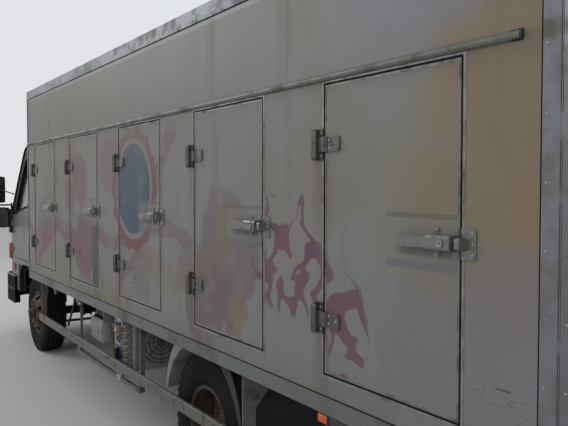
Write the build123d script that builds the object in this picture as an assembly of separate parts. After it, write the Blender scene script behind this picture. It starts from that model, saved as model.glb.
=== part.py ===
from build123d import *
import os
from math import cos, radians, sin

os.makedirs("parts", exist_ok=True)

# An insulated ice cream truck with five side doors on each side.
# Millimetres. +X points forward, +Y to the left, +Z up.
# The origin is on the ground, at the middle of the truck's length and width.

# Overall sizes
box_length = 5900
box_width = 2200
box_top = 2580
box_bottom = 800
cab_gap = 100
cab_length = 1510
cab_width = 2000
cab_top = 2200
bumper_proud = 50
total_length = box_length + cab_gap + cab_length + bumper_proud
x_rear = -total_length / 2
x_box_front = x_rear + box_length
x_cab_rear = x_box_front + cab_gap
x_cab_front = x_cab_rear + cab_length

# Insulated box
wall = 100
trim = 4
sill_height = 70
sill_width = 60
floor_thickness = 80
roof_edge_height = 75
rear_post = 60
front_post = 26
rail_radius = 14
rail_rear_margin = 70

# Side doors
door_count = 5
door_length = 685
door_height = 1094
door_bottom = 959
door_front_margin = 287
door_pitch = 1146
door_gap = 6
door_taper = 20

# Door hinges: the middle barrel and the strap belong to the door
hinge_low = 1168
hinge_high = 1830
hinge_height = 120
hinge_ahead = 47
hinge_pin_proud = 16
hinge_pin_radius = 6
barrel_radius = 14
barrel_clear = 0.4
strap_share = 0.24
strap_gap = 0.6
strap_length = 97
strap_thickness = 5
leaf_start = 8
leaf_thickness_wall = 5

# Door latches: distances forward from the door's rear edge
latch_height = 1500
ear_places = (16, 95)
ear_width = 24
ear_tall = 94
latch_span = (8, 108)
latch_depth = 40
latch_tall = 51
lock_place = 45
lock_radius = 14
lever_span = (113, 256)
lever_tall = 40
lever_thickness = 8
lever_clear = 26
keeper_length = 57
keeper_tall = 93
catch_length = 20
catch_tall = 37
catch_depth = 36

# Wheels and axles
tyre_radius = 392
tyre_width = 214
rim_radius = 212
rim_width = 170
rim_wall = 14
disc_offset = 125
disc_thickness = 12
hub_hole_radius = 80
hand_hole_radius = 24
hand_hole_circle = 166
hand_hole_count = 8
front_axle_ahead = 340
rear_axle_from_rear = 2210
front_wheel_y = 850
twin_mid_y = 795
kingpin_y = 740
arm_length = 170
fit = 0.3
wheel_z = tyre_radius
front_axle_x = x_box_front + front_axle_ahead
rear_axle_x = x_rear + rear_axle_from_rear

# Chassis
rail_half_gap = 335
rail_flange = 65
rail_web = 6
rail_bottom = 550
rail_top = 750
runner_height = 60
spring_width = 60
spring_y = 445
leaf_thickness = 12
spring_arc = 1500

# Cab
cab_bottom = 700
cab_skin = 45
cab_floor_top = 950
cab_floor_thickness = 50
arch_front = x_cab_rear + 710
arch_top = 860
arch_corner = 180
arch_lip = 28
arch_lip_proud = 12
fender_bottom = 550
bumper_side_front = x_cab_front - 610
cab_door_front = x_cab_front - 450
cab_door_rear = x_cab_rear + 110
cab_door_bottom = 905
cab_door_gap = 8
belt = 1380
crease = belt - 20
rake_run = 560
rake_rise = 780
cab_corner = 380
nose_half = 450
glass = 6


def block(x, y, z):
    """A box between two values each of x, y and z."""
    sizes = [max(pair) - min(pair) for pair in (x, y, z)]
    middle = [sum(pair) / 2 for pair in (x, y, z)]
    return Pos(*middle) * Box(*sizes)


def rod(radius, x, y, z):
    """A round bar along the one axis whose value is a pair."""
    pairs = [isinstance(value, tuple) for value in (x, y, z)]
    ends = [value if isinstance(value, tuple) else (value, value) for value in (x, y, z)]
    length = max(max(pair) - min(pair) for pair in ends)
    middle = [sum(pair) / 2 for pair in ends]
    turn = [(0, 90, 0), (90, 0, 0), (0, 0, 0)][pairs.index(True)]
    return Pos(*middle) * Rot(*turn) * Cylinder(radius, length)


def outline(rows):
    """A closed face from rows of two coordinates and a corner radius."""
    points = [row[:2] for row in rows]
    return make_face(FilletPolyline(*points, radius=[row[2] for row in rows], close=True))


def side_prism(face, y):
    """A face drawn in X and Z, drawn out between two y values."""
    return Pos(0, max(y), 0) * extrude(Plane.XZ * face, amount=max(y) - min(y))


def front_prism(face, x):
    """A face drawn in Y and Z, drawn out between two x values."""
    return Pos(min(x), 0, 0) * extrude(Plane.YZ * face, amount=max(x) - min(x))


def plan_prism(face, z):
    """A face drawn in X and Y, drawn out between two z values."""
    return Pos(0, 0, min(z)) * extrude(face, amount=max(z) - min(z))


def other_side(shape):
    """The same shape on the truck's right side."""
    return mirror(shape, about=Plane.XZ)


def both_sides(shape):
    """A left piece and its mirror image, which don't touch."""
    return Compound(children=[shape, other_side(shape)])


nodes = {}

# Insulated box: the panels lie inside a thin aluminium edge profile.
panel_y = box_width / 2 - trim
panel_x = (x_rear + trim, x_box_front - trim)
wall_bottom = box_bottom + sill_height
roof_bottom = box_top - trim - wall
inner_y = panel_y - wall
inner_x = (panel_x[0] + wall, panel_x[1] - wall)
face_y = panel_y
door_top = door_bottom + door_height


def door_front_x(number):
    """The front edge of a side door, counted from 1 at the cab."""
    return x_box_front - door_front_margin - (number - 1) * door_pitch


def door_plug(number, grow):
    """A door's tapered slab, or with a gap added the hole for it."""
    front = door_front_x(number)
    middle = (front - door_length / 2, 0, (door_bottom + door_top) / 2)
    width = door_length + 2 * grow
    height = door_height + 2 * grow
    inset = 2 * door_taper
    outer = Plane((middle[0], face_y, middle[2]), x_dir=(1, 0, 0), z_dir=(0, -1, 0))
    deep = outer.offset(wall)
    rims = Sketch() + outer * Rectangle(width, height) + deep * Rectangle(width - inset, height - inset)
    return loft(rims.faces())


def rounded_slab(rows, y):
    """A flat piece on the wall's face: an outline in X and Z, and how far it stands out."""
    return side_prism(outline(rows), (face_y + y[0], face_y + y[1]))


def barrel(x, low, high, radius):
    """A stretch of a hinge's barrel, or of the pin or bore in it."""
    return rod(radius, x, face_y + hinge_pin_proud, (low, high))


def wall_leaf(number, z):
    """The wall's half of a hinge: a plate, two domed knuckles and the pin."""
    front = door_front_x(number)
    x = front + hinge_ahead
    half = hinge_height / 2
    gap = strap_share * hinge_height
    leaf = block((front + leaf_start, x), (face_y, face_y + leaf_thickness_wall), (z - half, z + half))
    for turn in (-1, 1):
        ends = (z + turn * gap, z + turn * (half - barrel_radius))
        leaf += barrel(x, min(ends), max(ends), barrel_radius)
        leaf += Pos(x, face_y + hinge_pin_proud, ends[1]) * Sphere(barrel_radius)
        leaf += block((x - barrel_radius + 2, x + barrel_radius - 4), (face_y, face_y + hinge_pin_proud), ends)
    leaf -= block((x - barrel_radius - 2, x + barrel_radius + 2), (face_y - 1, face_y + 2 * hinge_pin_proud),
                  (z - gap, z + gap))
    return leaf + barrel(x, z - gap - 1, z + gap + 1, hinge_pin_radius)


def door_strap(number, z):
    """The door's half of a hinge: a barrel that turns on the pin, and its strap."""
    front = door_front_x(number)
    x = front + hinge_ahead
    half = strap_share * hinge_height - strap_gap
    lift = leaf_thickness_wall + 1
    pad = rounded_slab([
        (front - strap_length, z - half, 12),
        (front - 3, z - half, 0),
        (front - 3, z + half, 0),
        (front - strap_length, z + half, 12),
    ], (0, lift + 2))
    bridge = block((front - 24, x), (face_y + lift, face_y + lift + strap_thickness), (z - half, z + half))
    rib = block((front - 14, front + 6), (face_y + lift, face_y + lift + 9), (z - half, z + half))
    rib = fillet(rib.edges().filter_by(Axis.Z).group_by(Axis.Y)[-1], 4)
    strap = pad + bridge + rib + barrel(x, z - half, z + half, barrel_radius)
    return strap - barrel(x, z - half - 1, z + half + 1, hinge_pin_radius + barrel_clear)


def door_latch(number):
    """The latch at the door's rear edge: an eared plate, the body, its lock and the lever."""
    rear = door_front_x(number) - door_length
    latch = block((rear + latch_span[0], rear + latch_span[1]), (face_y, face_y + latch_depth),
                  (latch_height - latch_tall / 2, latch_height + latch_tall / 2))
    latch = fillet(latch.edges().filter_by(Axis.X).group_by(Axis.Y)[-1], 12)
    for place in ear_places:
        latch += rounded_slab([
            (rear + place - ear_width / 2, latch_height - ear_tall / 2, 9),
            (rear + place + ear_width / 2, latch_height - ear_tall / 2, 9),
            (rear + place + ear_width / 2, latch_height + ear_tall / 2, 9),
            (rear + place - ear_width / 2, latch_height + ear_tall / 2, 9),
        ], (0, 4))
    latch += rod(lock_radius, rear + lock_place, (face_y, face_y + latch_depth + 3), latch_height)
    latch += rounded_slab([
        (rear + latch_span[1] - 2, latch_height - lever_tall / 2 + 3, 0),
        (rear + lever_span[1], latch_height - lever_tall / 2, 8),
        (rear + lever_span[1], latch_height + lever_tall / 2, 8),
        (rear + latch_span[1] - 2, latch_height + lever_tall / 2 - 3, 0),
    ], (lever_clear, lever_clear + lever_thickness))
    return latch + block((rear + latch_span[1] - 2, rear + lever_span[0] + 8), (face_y, face_y + lever_clear + 2),
                         (latch_height - lever_tall / 2 + 5, latch_height + lever_tall / 2 - 5))


def latch_keeper(number):
    """The keeper plate and catch on the wall, behind the door's rear edge."""
    rear = door_front_x(number) - door_length - door_gap - 1
    plate = rounded_slab([
        (rear - keeper_length, latch_height - keeper_tall / 2, 10),
        (rear, latch_height - keeper_tall / 2, 3),
        (rear, latch_height + keeper_tall / 2, 3),
        (rear - keeper_length, latch_height + keeper_tall / 2, 10),
    ], (0, 5))
    catch = block((rear - catch_length, rear - 1), (face_y, face_y + catch_depth),
                  (latch_height - catch_tall / 2, latch_height + catch_tall / 2))
    return plate + fillet(catch.edges().filter_by(Axis.X).group_by(Axis.Y)[-1], 8)


left_wall = block(panel_x, (inner_y, panel_y), (wall_bottom, roof_bottom))
for number in range(1, door_count + 1):
    left_wall -= door_plug(number, door_gap)
for number in range(1, door_count + 1):
    left_wall += latch_keeper(number)
    for z in (hinge_low, hinge_high):
        left_wall += wall_leaf(number, z)
nodes["box_left_wall"] = left_wall
nodes["box_right_wall"] = other_side(left_wall)

for number in range(1, door_count + 1):
    door = door_plug(number, 0) + door_latch(number)
    for z in (hinge_low, hinge_high):
        door += door_strap(number, z)
    nodes[f"left_side_door_{number}"] = door
    nodes[f"right_side_door_{number}"] = other_side(door)

inner_span = (-inner_y, inner_y)
panel_span = (-panel_y, panel_y)
floor_top = wall_bottom + floor_thickness
nodes["box_floor"] = block(inner_x, inner_span, (wall_bottom, floor_top))
nodes["box_roof"] = block(panel_x, panel_span, (roof_bottom, box_top - trim))
nodes["box_front_wall"] = block((inner_x[1], panel_x[1]), inner_span, (wall_bottom, roof_bottom))
nodes["box_rear_wall"] = block((panel_x[0], inner_x[0]), inner_span, (wall_bottom, roof_bottom))

# Aluminium edge profiles: a ring round the roof, four corner posts and two drip rails.
roof_edge_low = box_top - roof_edge_height
edge_ring = block((x_rear, x_box_front), (-box_width / 2, box_width / 2), (roof_edge_low, box_top))
edge_ring -= block(panel_x, panel_span, (roof_edge_low - 1, box_top - trim))
edge_ring -= block((panel_x[0] + 40, panel_x[1] - 40), (-panel_y + 40, panel_y - 40),
                   (box_top - trim - 1, box_top + 1))
post_rows = [
    # outer x, width along the side, turn along X
    (x_rear, rear_post, 1),
    (x_box_front, front_post, -1),
]
for outer_x, width, turn in post_rows:
    post = block((outer_x, outer_x + turn * width), (box_width / 2 - width, box_width / 2),
                 (wall_bottom, roof_edge_low))
    post -= block((outer_x + turn * trim, outer_x + turn * (width + 1)),
                  (box_width / 2 - width - 1, panel_y), (wall_bottom - 1, roof_edge_low + 1))
    edge_ring += post
    edge_ring += other_side(post)
drip_z = door_top + 27
drip_x = (x_rear + rear_post + rail_rear_margin, x_box_front - front_post)
drip_face = Circle(rail_radius) - Pos(-rail_radius, 0) * Rectangle(2 * rail_radius, 4 * rail_radius)
drip_rail = front_prism(Pos(panel_y, drip_z) * drip_face, drip_x)
nodes["box_edge_profiles"] = Compound(children=[edge_ring, drip_rail, other_side(drip_rail)])

# Under-floor frame: a white sill all round, cross bearers and two runners on the rails.
sill_z = (box_bottom, wall_bottom)
sill = block((x_rear, x_box_front), (panel_y - sill_width, panel_y), sill_z)
bearer_low = rail_top + runner_height
bearer_span = (-panel_y + sill_width, panel_y - sill_width)
bearer_half = 25
bearer_web = 5
bearer_ahead = (300, 780, 1260, 1680, 1905, 2115, 2290, 2500, 2775, 3050)
bearer_behind = (780, 1280, 1780)
bearer_places = [x_box_front - ahead for ahead in bearer_ahead]
bearer_places += [rear_axle_x - behind for behind in bearer_behind]
bearers = [
    block((x_rear, x_rear + sill_width), bearer_span, sill_z),
    block((x_box_front - sill_width, x_box_front), bearer_span, sill_z),
]
for x in bearer_places:
    bearer = block((x - bearer_half, x + bearer_half), bearer_span, (bearer_low, wall_bottom))
    bearer -= block((x - bearer_half - 1, x + bearer_half - bearer_web), (bearer_span[0] - 1, bearer_span[1] + 1),
                    (bearer_low + bearer_web, wall_bottom - bearer_web))
    bearers.append(bearer)
nodes["cross_bearers"] = Compound(children=bearers)
rail_y = (rail_half_gap, rail_half_gap + rail_flange)
runner = block((x_rear + sill_width + 10, x_box_front - sill_width - 10), rail_y, (rail_top, bearer_low))
nodes["box_subframe"] = Compound(children=[sill, other_side(sill), runner, other_side(runner)])

# Chassis: two channel rails open to the middle, cross members and spring brackets.
rail_x = (x_rear + 60, x_cab_front - 120)
rail_outer = rail_half_gap + rail_flange
rail = block(rail_x, rail_y, (rail_bottom, rail_top))
rail -= block((rail_x[0] - 1, rail_x[1] + 1), (rail_half_gap - 1, rail_outer - rail_web),
              (rail_bottom + rail_web, rail_top - rail_web))
rear_spring_half = 600
front_spring_half = 550
eye_radius = 24
eye_pin_radius = 12
bracket_thickness = 12
spring_edges = (spring_y - spring_width / 2, spring_y + spring_width / 2)


def spring_eye_z(half, seat_z):
    """The height of a spring's eye, which its arc lifts above its seat."""
    return seat_z + spring_arc - (spring_arc**2 - half**2) ** 0.5


def spring_bracket(x, eye_z):
    """A hanger that holds one eye between two ears, with its pin."""
    reach = spring_edges[1] + 3 + bracket_thickness
    bracket = block((x - 42, x + 42), (rail_outer, reach), (eye_z - 38, rail_top - 20))
    bracket -= block((x - 43, x + 43), (rail_outer + bracket_thickness, spring_edges[1] + 3),
                     (eye_z - 39, eye_z + 60))
    return bracket + rod(eye_pin_radius, x, (rail_outer, reach), eye_z)


def leaf_spring(x, half, seat_z):
    """Three curved leaves, one below another, and the eyes of the longest."""
    centre_z = seat_z + spring_arc
    spring = Pos(x, spring_y, centre_z) * Rot(90, 0, 0) * Cylinder(spring_arc, spring_width)
    spring -= Pos(x, spring_y, centre_z) * Rot(90, 0, 0) * Cylinder(spring_arc - leaf_thickness, spring_width + 2)
    spring &= block((x - half, x + half), spring_edges, (seat_z - 1, seat_z + 400))
    leaf_rows = [
        # share of the half length, leaf's number from the top
        (0.72, 1),
        (0.45, 2),
    ]
    for share, place in leaf_rows:
        outer = spring_arc + place * leaf_thickness
        leaf = Pos(x, spring_y, centre_z) * Rot(90, 0, 0) * Cylinder(outer, spring_width)
        leaf -= Pos(x, spring_y, centre_z) * Rot(90, 0, 0) * Cylinder(outer - leaf_thickness, spring_width + 2)
        spring += leaf & block((x - share * half, x + share * half), spring_edges, (seat_z - 100, seat_z + 400))
    eye_z = spring_eye_z(half, seat_z) - leaf_thickness / 2
    for end in (x - half, x + half):
        spring += rod(eye_radius, end, spring_edges, eye_z)
        spring -= rod(eye_pin_radius + fit, end, (spring_edges[0] - 1, spring_edges[1] + 1), eye_z)
    return spring


beam_half = 45
tube_radius = 55
pad = 10
leaves = 3
spring_rows = [
    # axle x, half length of the spring, top of the seat on the axle
    (front_axle_x, front_spring_half, wheel_z + beam_half + (leaves - 1) * leaf_thickness),
    (rear_axle_x, rear_spring_half, wheel_z + tube_radius + pad + (leaves - 1) * leaf_thickness),
]
springs = []
for x, half, seat_z in spring_rows:
    spring = leaf_spring(x, half, seat_z)
    springs.append(spring)
    springs.append(other_side(spring))
    for end in (x - half, x + half):
        rail += spring_bracket(end, spring_eye_z(half, seat_z) - leaf_thickness / 2)
nodes["leaf_springs"] = Compound(children=springs)

tow_eye_radius = 40
tow_bore_radius = 17
tow_eye_width = 25
tow_eye_x = x_cab_front - 5
tow_eye_z = 330
tow_y = (rail_half_gap + 20, rail_half_gap + 20 + tow_eye_width)
tow_arm_rear = rail_x[1] - 90
tow_arm_z = (tow_eye_z - 30, tow_eye_z + 30)
rail += rod(tow_eye_radius, tow_eye_x, tow_y, tow_eye_z)
rail += block((tow_arm_rear, tow_eye_x), tow_y, tow_arm_z)
rail += block((tow_arm_rear, tow_arm_rear + 80), tow_y, (tow_arm_z[0], rail_bottom))
rail -= rod(tow_bore_radius, tow_eye_x, (tow_y[0] - 1, tow_y[1] + 1), tow_eye_z)
cab_floor_low = cab_floor_top - cab_floor_thickness
pedestal_half = 30
for x in (x_cab_rear + 60, x_cab_front - 260):
    rail += block((x - pedestal_half, x + pedestal_half), rail_y, (rail_top, cab_floor_low))
nodes["chassis_frame"] = both_sides(rail)

# Cross members: pressed channels between the rails, and the drilled plate at the rear end.
member_y = (-rail_outer + rail_web, rail_outer - rail_web)
member_wall = 8
member_rows = [
    # middle x, length, bottom z, top z
    (rear_axle_x - 1030, 90, 580, 720),
    (x_box_front - 2570, 90, 640, 720),
    (x_box_front - 1320, 90, 640, 720),
    (x_cab_front - 380, 90, 570, 690),
    (rail_x[1] - 30, 60, 570, 730),
]
hitch_z = 650
hitch_spacing_y = 120
hitch_spacing_z = 55
hitch_hole_radius = 7.5
hitch_thickness = 12
hitch = block((rail_x[0], rail_x[0] + hitch_thickness), member_y, (rail_bottom + rail_web, rail_top - rail_web))
for y in (-hitch_spacing_y / 2, hitch_spacing_y / 2):
    for z in (hitch_z - hitch_spacing_z / 2, hitch_z + hitch_spacing_z / 2):
        hitch -= rod(hitch_hole_radius, (rail_x[0] - 1, rail_x[0] + hitch_thickness + 1), y, z)
members = [hitch]
for x, length, low, high in member_rows:
    member = block((x - length / 2, x + length / 2), member_y, (low, high))
    member -= block((x - length / 2 + member_wall, x + length), (member_y[0] - 1, member_y[1] + 1),
                    (low + member_wall, high - member_wall))
    members.append(member)
nodes["cross_members"] = Compound(children=members)

# Axles
eye_r = 35
eye_half = 35
beam = block((front_axle_x - beam_half, front_axle_x + beam_half), (-kingpin_y + 20, kingpin_y - 20),
             (wheel_z - eye_half, wheel_z + eye_half))
beam += block((front_axle_x - beam_half, front_axle_x + beam_half), (-spring_edges[1], spring_edges[1]),
              (wheel_z - beam_half, wheel_z + beam_half))
beam -= block((front_axle_x + 12, front_axle_x + 60), (-640, 640), (wheel_z - 25, wheel_z + 25))
beam -= block((front_axle_x - 60, front_axle_x - 12), (-640, 640), (wheel_z - 25, wheel_z + 25))
kingpin_radius = 15
for y in (-kingpin_y, kingpin_y):
    beam -= rod(60, front_axle_x, y, (wheel_z - 60, wheel_z + 60))
    beam += rod(eye_r, front_axle_x, y, (wheel_z - eye_half, wheel_z + eye_half))
neck = block((front_axle_x - 30, front_axle_x + 30), (kingpin_y - 65, kingpin_y), (wheel_z - eye_half, wheel_z + eye_half))
beam += neck
beam += other_side(neck)
for y in (-kingpin_y, kingpin_y):
    beam -= rod(kingpin_radius + fit, front_axle_x, y, (wheel_z - 60, wheel_z + 60))
nodes["front_axle_beam"] = beam

spindle_radius = 45
spindle_end = 880
drum_inner = 600
housing = rod(tube_radius, rear_axle_x, (-drum_inner + 20, drum_inner - 20), wheel_z)
housing += rod(spindle_radius, rear_axle_x, (-spindle_end, spindle_end), wheel_z)
housing += rod(165, (rear_axle_x - 110, rear_axle_x + 110), 0, wheel_z)
nose_x = rear_axle_x + 260
shaft_z = wheel_z + 30
housing += rod(70, (rear_axle_x, nose_x), 0, shaft_z)
for y in (-spring_y, spring_y):
    housing += block((rear_axle_x - 60, rear_axle_x + 60), (y - spring_width / 2, y + spring_width / 2),
                     (wheel_z, wheel_z + tube_radius + pad))
nodes["rear_axle_housing"] = housing

gearbox_rear = 1750
engine_x = (2300, 3050)
engine = block(engine_x, (-260, 260), (470, 860))
gearbox = block((gearbox_rear, engine_x[0]), (-150, 150), (shaft_z - 70, 690))
engine += gearbox
nodes["engine_and_gearbox"] = fillet(engine.edges().filter_by(Axis.X), 30)
shaft = rod(42, (nose_x, gearbox_rear), 0, shaft_z)
for x in (nose_x + 30, gearbox_rear - 30):
    shaft += rod(62, (x - 30, x + 30), 0, shaft_z)
nodes["propeller_shaft"] = shaft

# Wheels: tyre and rim are rings turned about the axle.


def turned(rows, wheel_x, wheel_y, dish):
    """A ring from rows of radius and distance along the dish, about the axle."""
    points = [(radius, dish * along) for radius, along in rows]
    ring = revolve(make_face(Polyline(*points, close=True)), axis=Axis.Y)
    return Pos(wheel_x, wheel_y, wheel_z) * ring


half_tyre = tyre_width / 2
half_rim = rim_width / 2
tyre_rows = [
    (rim_radius, -half_rim + 4),
    (rim_radius + 14, -half_rim - 6),
    (tyre_radius * 0.78, -half_tyre),
    (tyre_radius - 26, -half_tyre + 10),
    (tyre_radius, -half_tyre + 26),
    (tyre_radius, half_tyre - 26),
    (tyre_radius - 26, half_tyre - 10),
    (tyre_radius * 0.78, half_tyre),
    (rim_radius + 14, half_rim + 6),
    (rim_radius, half_rim - 4),
]
bead_radius = rim_radius - rim_wall
rim_rows = [
    (rim_radius, -half_rim),
    (rim_radius, half_rim),
    (bead_radius, half_rim),
    (bead_radius, half_rim - 16),
    (150, disc_offset),
    (hub_hole_radius, disc_offset),
    (hub_hole_radius, disc_offset - disc_thickness),
    (145, disc_offset - disc_thickness),
    (bead_radius, half_rim - 34),
    (bead_radius, -half_rim),
]


def tyre(wheel_x, wheel_y):
    return turned(tyre_rows, wheel_x, wheel_y, 1)


def rim(wheel_x, wheel_y, dish):
    """A steel rim with its dished disc, hub hole and hand holes."""
    ring = turned(rim_rows, wheel_x, wheel_y, dish)
    for step in range(hand_hole_count):
        turn = radians(360 / hand_hole_count * (step + 0.5))
        x = wheel_x + hand_hole_circle * cos(turn)
        z = wheel_z + hand_hole_circle * sin(turn)
        ring -= rod(hand_hole_radius, x, (wheel_y + dish * 40, wheel_y + dish * (disc_offset + 20)), z)
    return ring


front_disc_y = front_wheel_y + disc_offset
drum_y = kingpin_y + 75
front_spindle = 27
front_hub = rod(60, front_axle_x, (drum_y, front_disc_y + 20), wheel_z)
front_hub += rod(150, front_axle_x, (drum_y, drum_y + 70), wheel_z)
front_hub += rod(112, front_axle_x, (front_disc_y - disc_thickness - 14, front_disc_y - disc_thickness), wheel_z)
front_hub -= rod(front_spindle + fit, front_axle_x, (drum_y - 1, front_disc_y - 30), wheel_z)
left_front_rim = rim(front_axle_x, front_wheel_y, 1) + front_hub
left_front_tyre = tyre(front_axle_x, front_wheel_y)
nodes["left_front_rim"] = left_front_rim
nodes["left_front_tyre"] = left_front_tyre
nodes["right_front_rim"] = other_side(left_front_rim)
nodes["right_front_tyre"] = other_side(left_front_tyre)

twin_rows = [
    # wheel's middle y, direction of its dish
    (twin_mid_y - disc_offset, 1),
    (twin_mid_y + disc_offset, -1),
]
rear_hub = rod(78, rear_axle_x, (drum_inner + 100, spindle_end + 25), wheel_z)
rear_hub += rod(160, rear_axle_x, (drum_inner, twin_mid_y - 40), wheel_z)
rear_hub += rod(130, rear_axle_x, (twin_mid_y - 40, twin_mid_y - disc_thickness), wheel_z)
rear_hub -= rod(spindle_radius + fit, rear_axle_x, (drum_inner - 1, spindle_end + 1), wheel_z)
left_rear_rims = rear_hub
left_rear_tyres = []
for wheel_y, dish in twin_rows:
    left_rear_rims += rim(rear_axle_x, wheel_y, dish)
    left_rear_tyres.append(tyre(rear_axle_x, wheel_y))
nodes["left_rear_rims"] = left_rear_rims
nodes["right_rear_rims"] = other_side(left_rear_rims)
nodes["left_rear_tyres"] = Compound(children=left_rear_tyres)
nodes["right_rear_tyres"] = Compound(children=[other_side(ring) for ring in left_rear_tyres])

# Steering: knuckles turn on the kingpins, and a tie rod joins their arms.
lug_gap = 1
lug_thickness = 28
tie_end_radius = 18
tie_pin_radius = 9
lug_top = wheel_z + eye_half + lug_gap
lug_bottom = wheel_z - eye_half - lug_gap
knuckle = rod(eye_r, front_axle_x, kingpin_y, (lug_top, lug_top + lug_thickness))
knuckle += rod(eye_r, front_axle_x, kingpin_y, (lug_bottom - lug_thickness, lug_bottom))
web_y = (kingpin_y + eye_r + 3, drum_y - 8)
for low, high in ((lug_top, lug_top + lug_thickness), (lug_bottom - lug_thickness, lug_bottom)):
    knuckle += block((front_axle_x - 30, front_axle_x + 30), (kingpin_y, web_y[1]), (low, high))
knuckle += block((front_axle_x - 30, front_axle_x + 30), web_y,
                 (lug_bottom - lug_thickness, lug_top + lug_thickness))
knuckle += rod(kingpin_radius, front_axle_x, kingpin_y,
               (lug_bottom - lug_thickness, lug_top + lug_thickness + 8))
knuckle += rod(front_spindle, front_axle_x, (web_y[1] - 5, front_disc_y - 40), wheel_z)
arm_z = (lug_bottom - lug_thickness, lug_bottom - 8)
knuckle += block((front_axle_x - arm_length, front_axle_x), (kingpin_y - 17, kingpin_y + 17), arm_z)
knuckle += rod(tie_end_radius, front_axle_x - arm_length, kingpin_y, arm_z)
rod_z = arm_z[0] - 20
knuckle += rod(tie_pin_radius, front_axle_x - arm_length, kingpin_y, (rod_z - 16, arm_z[1]))
nodes["left_knuckle"] = knuckle
nodes["right_knuckle"] = other_side(knuckle)
rod_x = front_axle_x - arm_length
tie_rod = rod(13, rod_x, (-kingpin_y + 14, kingpin_y - 14), rod_z)
for y in (-kingpin_y, kingpin_y):
    tie_rod += rod(tie_end_radius, rod_x, y, (rod_z - 16, rod_z + 16))
    tie_rod -= rod(tie_pin_radius + fit, rod_x, y, (rod_z - 20, rod_z + 20))
nodes["tie_rod"] = tie_rod

# Cab: a shell cut from one form, which three outlines make together.


def cab_form(inset):
    """The cab's outer form, or with an inset the form that far inside it."""
    half = cab_width / 2
    side_rows = [
        # x, z, corner radius
        (x_cab_rear, fender_bottom, 0),
        (bumper_side_front, fender_bottom, 0),
        (bumper_side_front, cab_bottom, 0),
        (x_cab_front, cab_bottom, 60),
        (x_cab_front - 20, crease, 120),
        (x_cab_front - 20 - rake_run, crease + rake_rise, 160),
        (x_cab_rear + 300, cab_top, 300),
        (x_cab_rear, cab_top - 25, 60),
    ]
    front_rows = [
        # y, z, corner radius
        (-half, fender_bottom, 0),
        (half, fender_bottom, 0),
        (half, belt, 300),
        (half - 110, cab_top + 4, 110),
        (-half + 110, cab_top + 4, 110),
        (-half, belt, 300),
    ]
    plan_rows = [
        # x, y, corner radius
        (x_cab_rear, -half, 30),
        (x_cab_front - 30, -half, cab_corner),
        (x_cab_front, -nose_half, 600),
        (x_cab_front, nose_half, 600),
        (x_cab_front - 30, half, cab_corner),
        (x_cab_rear, half, 30),
    ]
    faces = [outline(rows) for rows in (side_rows, front_rows, plan_rows)]
    if inset:
        faces = [offset(face, amount=-inset) for face in faces]
    form = side_prism(faces[0], (-half - 100, half + 100))
    form &= front_prism(faces[1], (x_cab_rear - 100, x_cab_front + 100))
    rake = Vector(-rake_run, 0, rake_rise)
    below = plan_prism(faces[2], (fender_bottom - 100, crease))
    above = extrude(Pos(0, 0, crease) * faces[2], amount=rake.length + 200, dir=rake.normalized())
    return form & (below + above)


side_span = (cab_width / 2 - 250, cab_width / 2 + 100)
door_rows = [
    # x, z, corner radius
    (cab_door_rear, cab_door_bottom, 40),
    (cab_door_front, cab_door_bottom, 60),
    (cab_door_front, belt - 30, 60),
    (cab_door_front - 250, 2075, 60),
    (cab_door_rear, 2085, 60),
]
window_rows = [
    (cab_door_rear + 70, belt + 125, 40),
    (cab_door_front - 330, belt + 50, 200),
    (cab_door_front - 125, belt - 8, 40),
    (cab_door_front - 315, 1985, 50),
    (cab_door_rear + 70, 2005, 50),
]
screen_rows = [
    # y, z, corner radius
    (-890, belt + 10, 60),
    (890, belt + 10, 60),
    (800, cab_top - 130, 70),
    (-800, cab_top - 130, 70),
]
rear_window_rows = [
    (-520, 1560, 60),
    (520, 1560, 60),
    (520, 1980, 60),
    (-520, 1980, 60),
]
lamp_z = (870, 1050)
lamp_x = x_cab_front - 360
lamp_y = 590
outer_form = cab_form(0)
inner_form = cab_form(cab_skin)
glass_skin = cab_form(cab_skin / 2) - cab_form(cab_skin / 2 + glass)
door_face = outline(door_rows)
door_prism = side_prism(door_face, side_span)
door_hole = side_prism(offset(door_face, amount=cab_door_gap), side_span)
window_prism = side_prism(outline(window_rows), side_span)
screen_prism = front_prism(outline(screen_rows), (x_cab_front - 700, x_cab_front + 50))
rear_window_prism = front_prism(outline(rear_window_rows), (x_cab_rear - 50, x_cab_rear + 100))
half_span = (-cab_width / 2 - 100, cab_width / 2 + 100)
arch_rows = [
    (x_cab_rear - 1, fender_bottom - 100, 0),
    (arch_front, fender_bottom - 100, 0),
    (arch_front, arch_top, arch_corner),
    (x_cab_rear - 1, arch_top, 0),
]
arch_face = outline(arch_rows)
arch = side_prism(arch_face, half_span)
lip_y = (cab_width / 2 - 5, cab_width / 2 + arch_lip_proud)
lip = side_prism(offset(arch_face, amount=arch_lip), lip_y) & block((x_cab_rear, x_cab_front), lip_y,
                                                                   (fender_bottom, arch_top + arch_lip))
headroom = block((x_cab_rear, x_cab_front), half_span, (cab_floor_top, cab_top))
under_floor = block((x_cab_rear - 1, x_cab_front), half_span, (0, cab_floor_low))
low_inside = plan_prism(outline([
    (x_cab_rear - 200, -cab_width / 2 + cab_skin, 0),
    (x_cab_front - cab_skin - 30, -cab_width / 2 + cab_skin, 260),
    (x_cab_front - cab_skin - 30, cab_width / 2 - cab_skin, 260),
    (x_cab_rear - 200, cab_width / 2 - cab_skin, 0),
]), (0, cab_floor_low))
skin_gap_form = cab_form(cab_skin + cab_door_gap)
cab_shell = outer_form + lip + other_side(lip) - (inner_form & headroom) - low_inside - arch
cab_shell -= door_hole - skin_gap_form
cab_shell -= other_side(door_hole) - skin_gap_form
cab_shell -= screen_prism - cab_form(120)
cab_shell -= rear_window_prism
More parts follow.
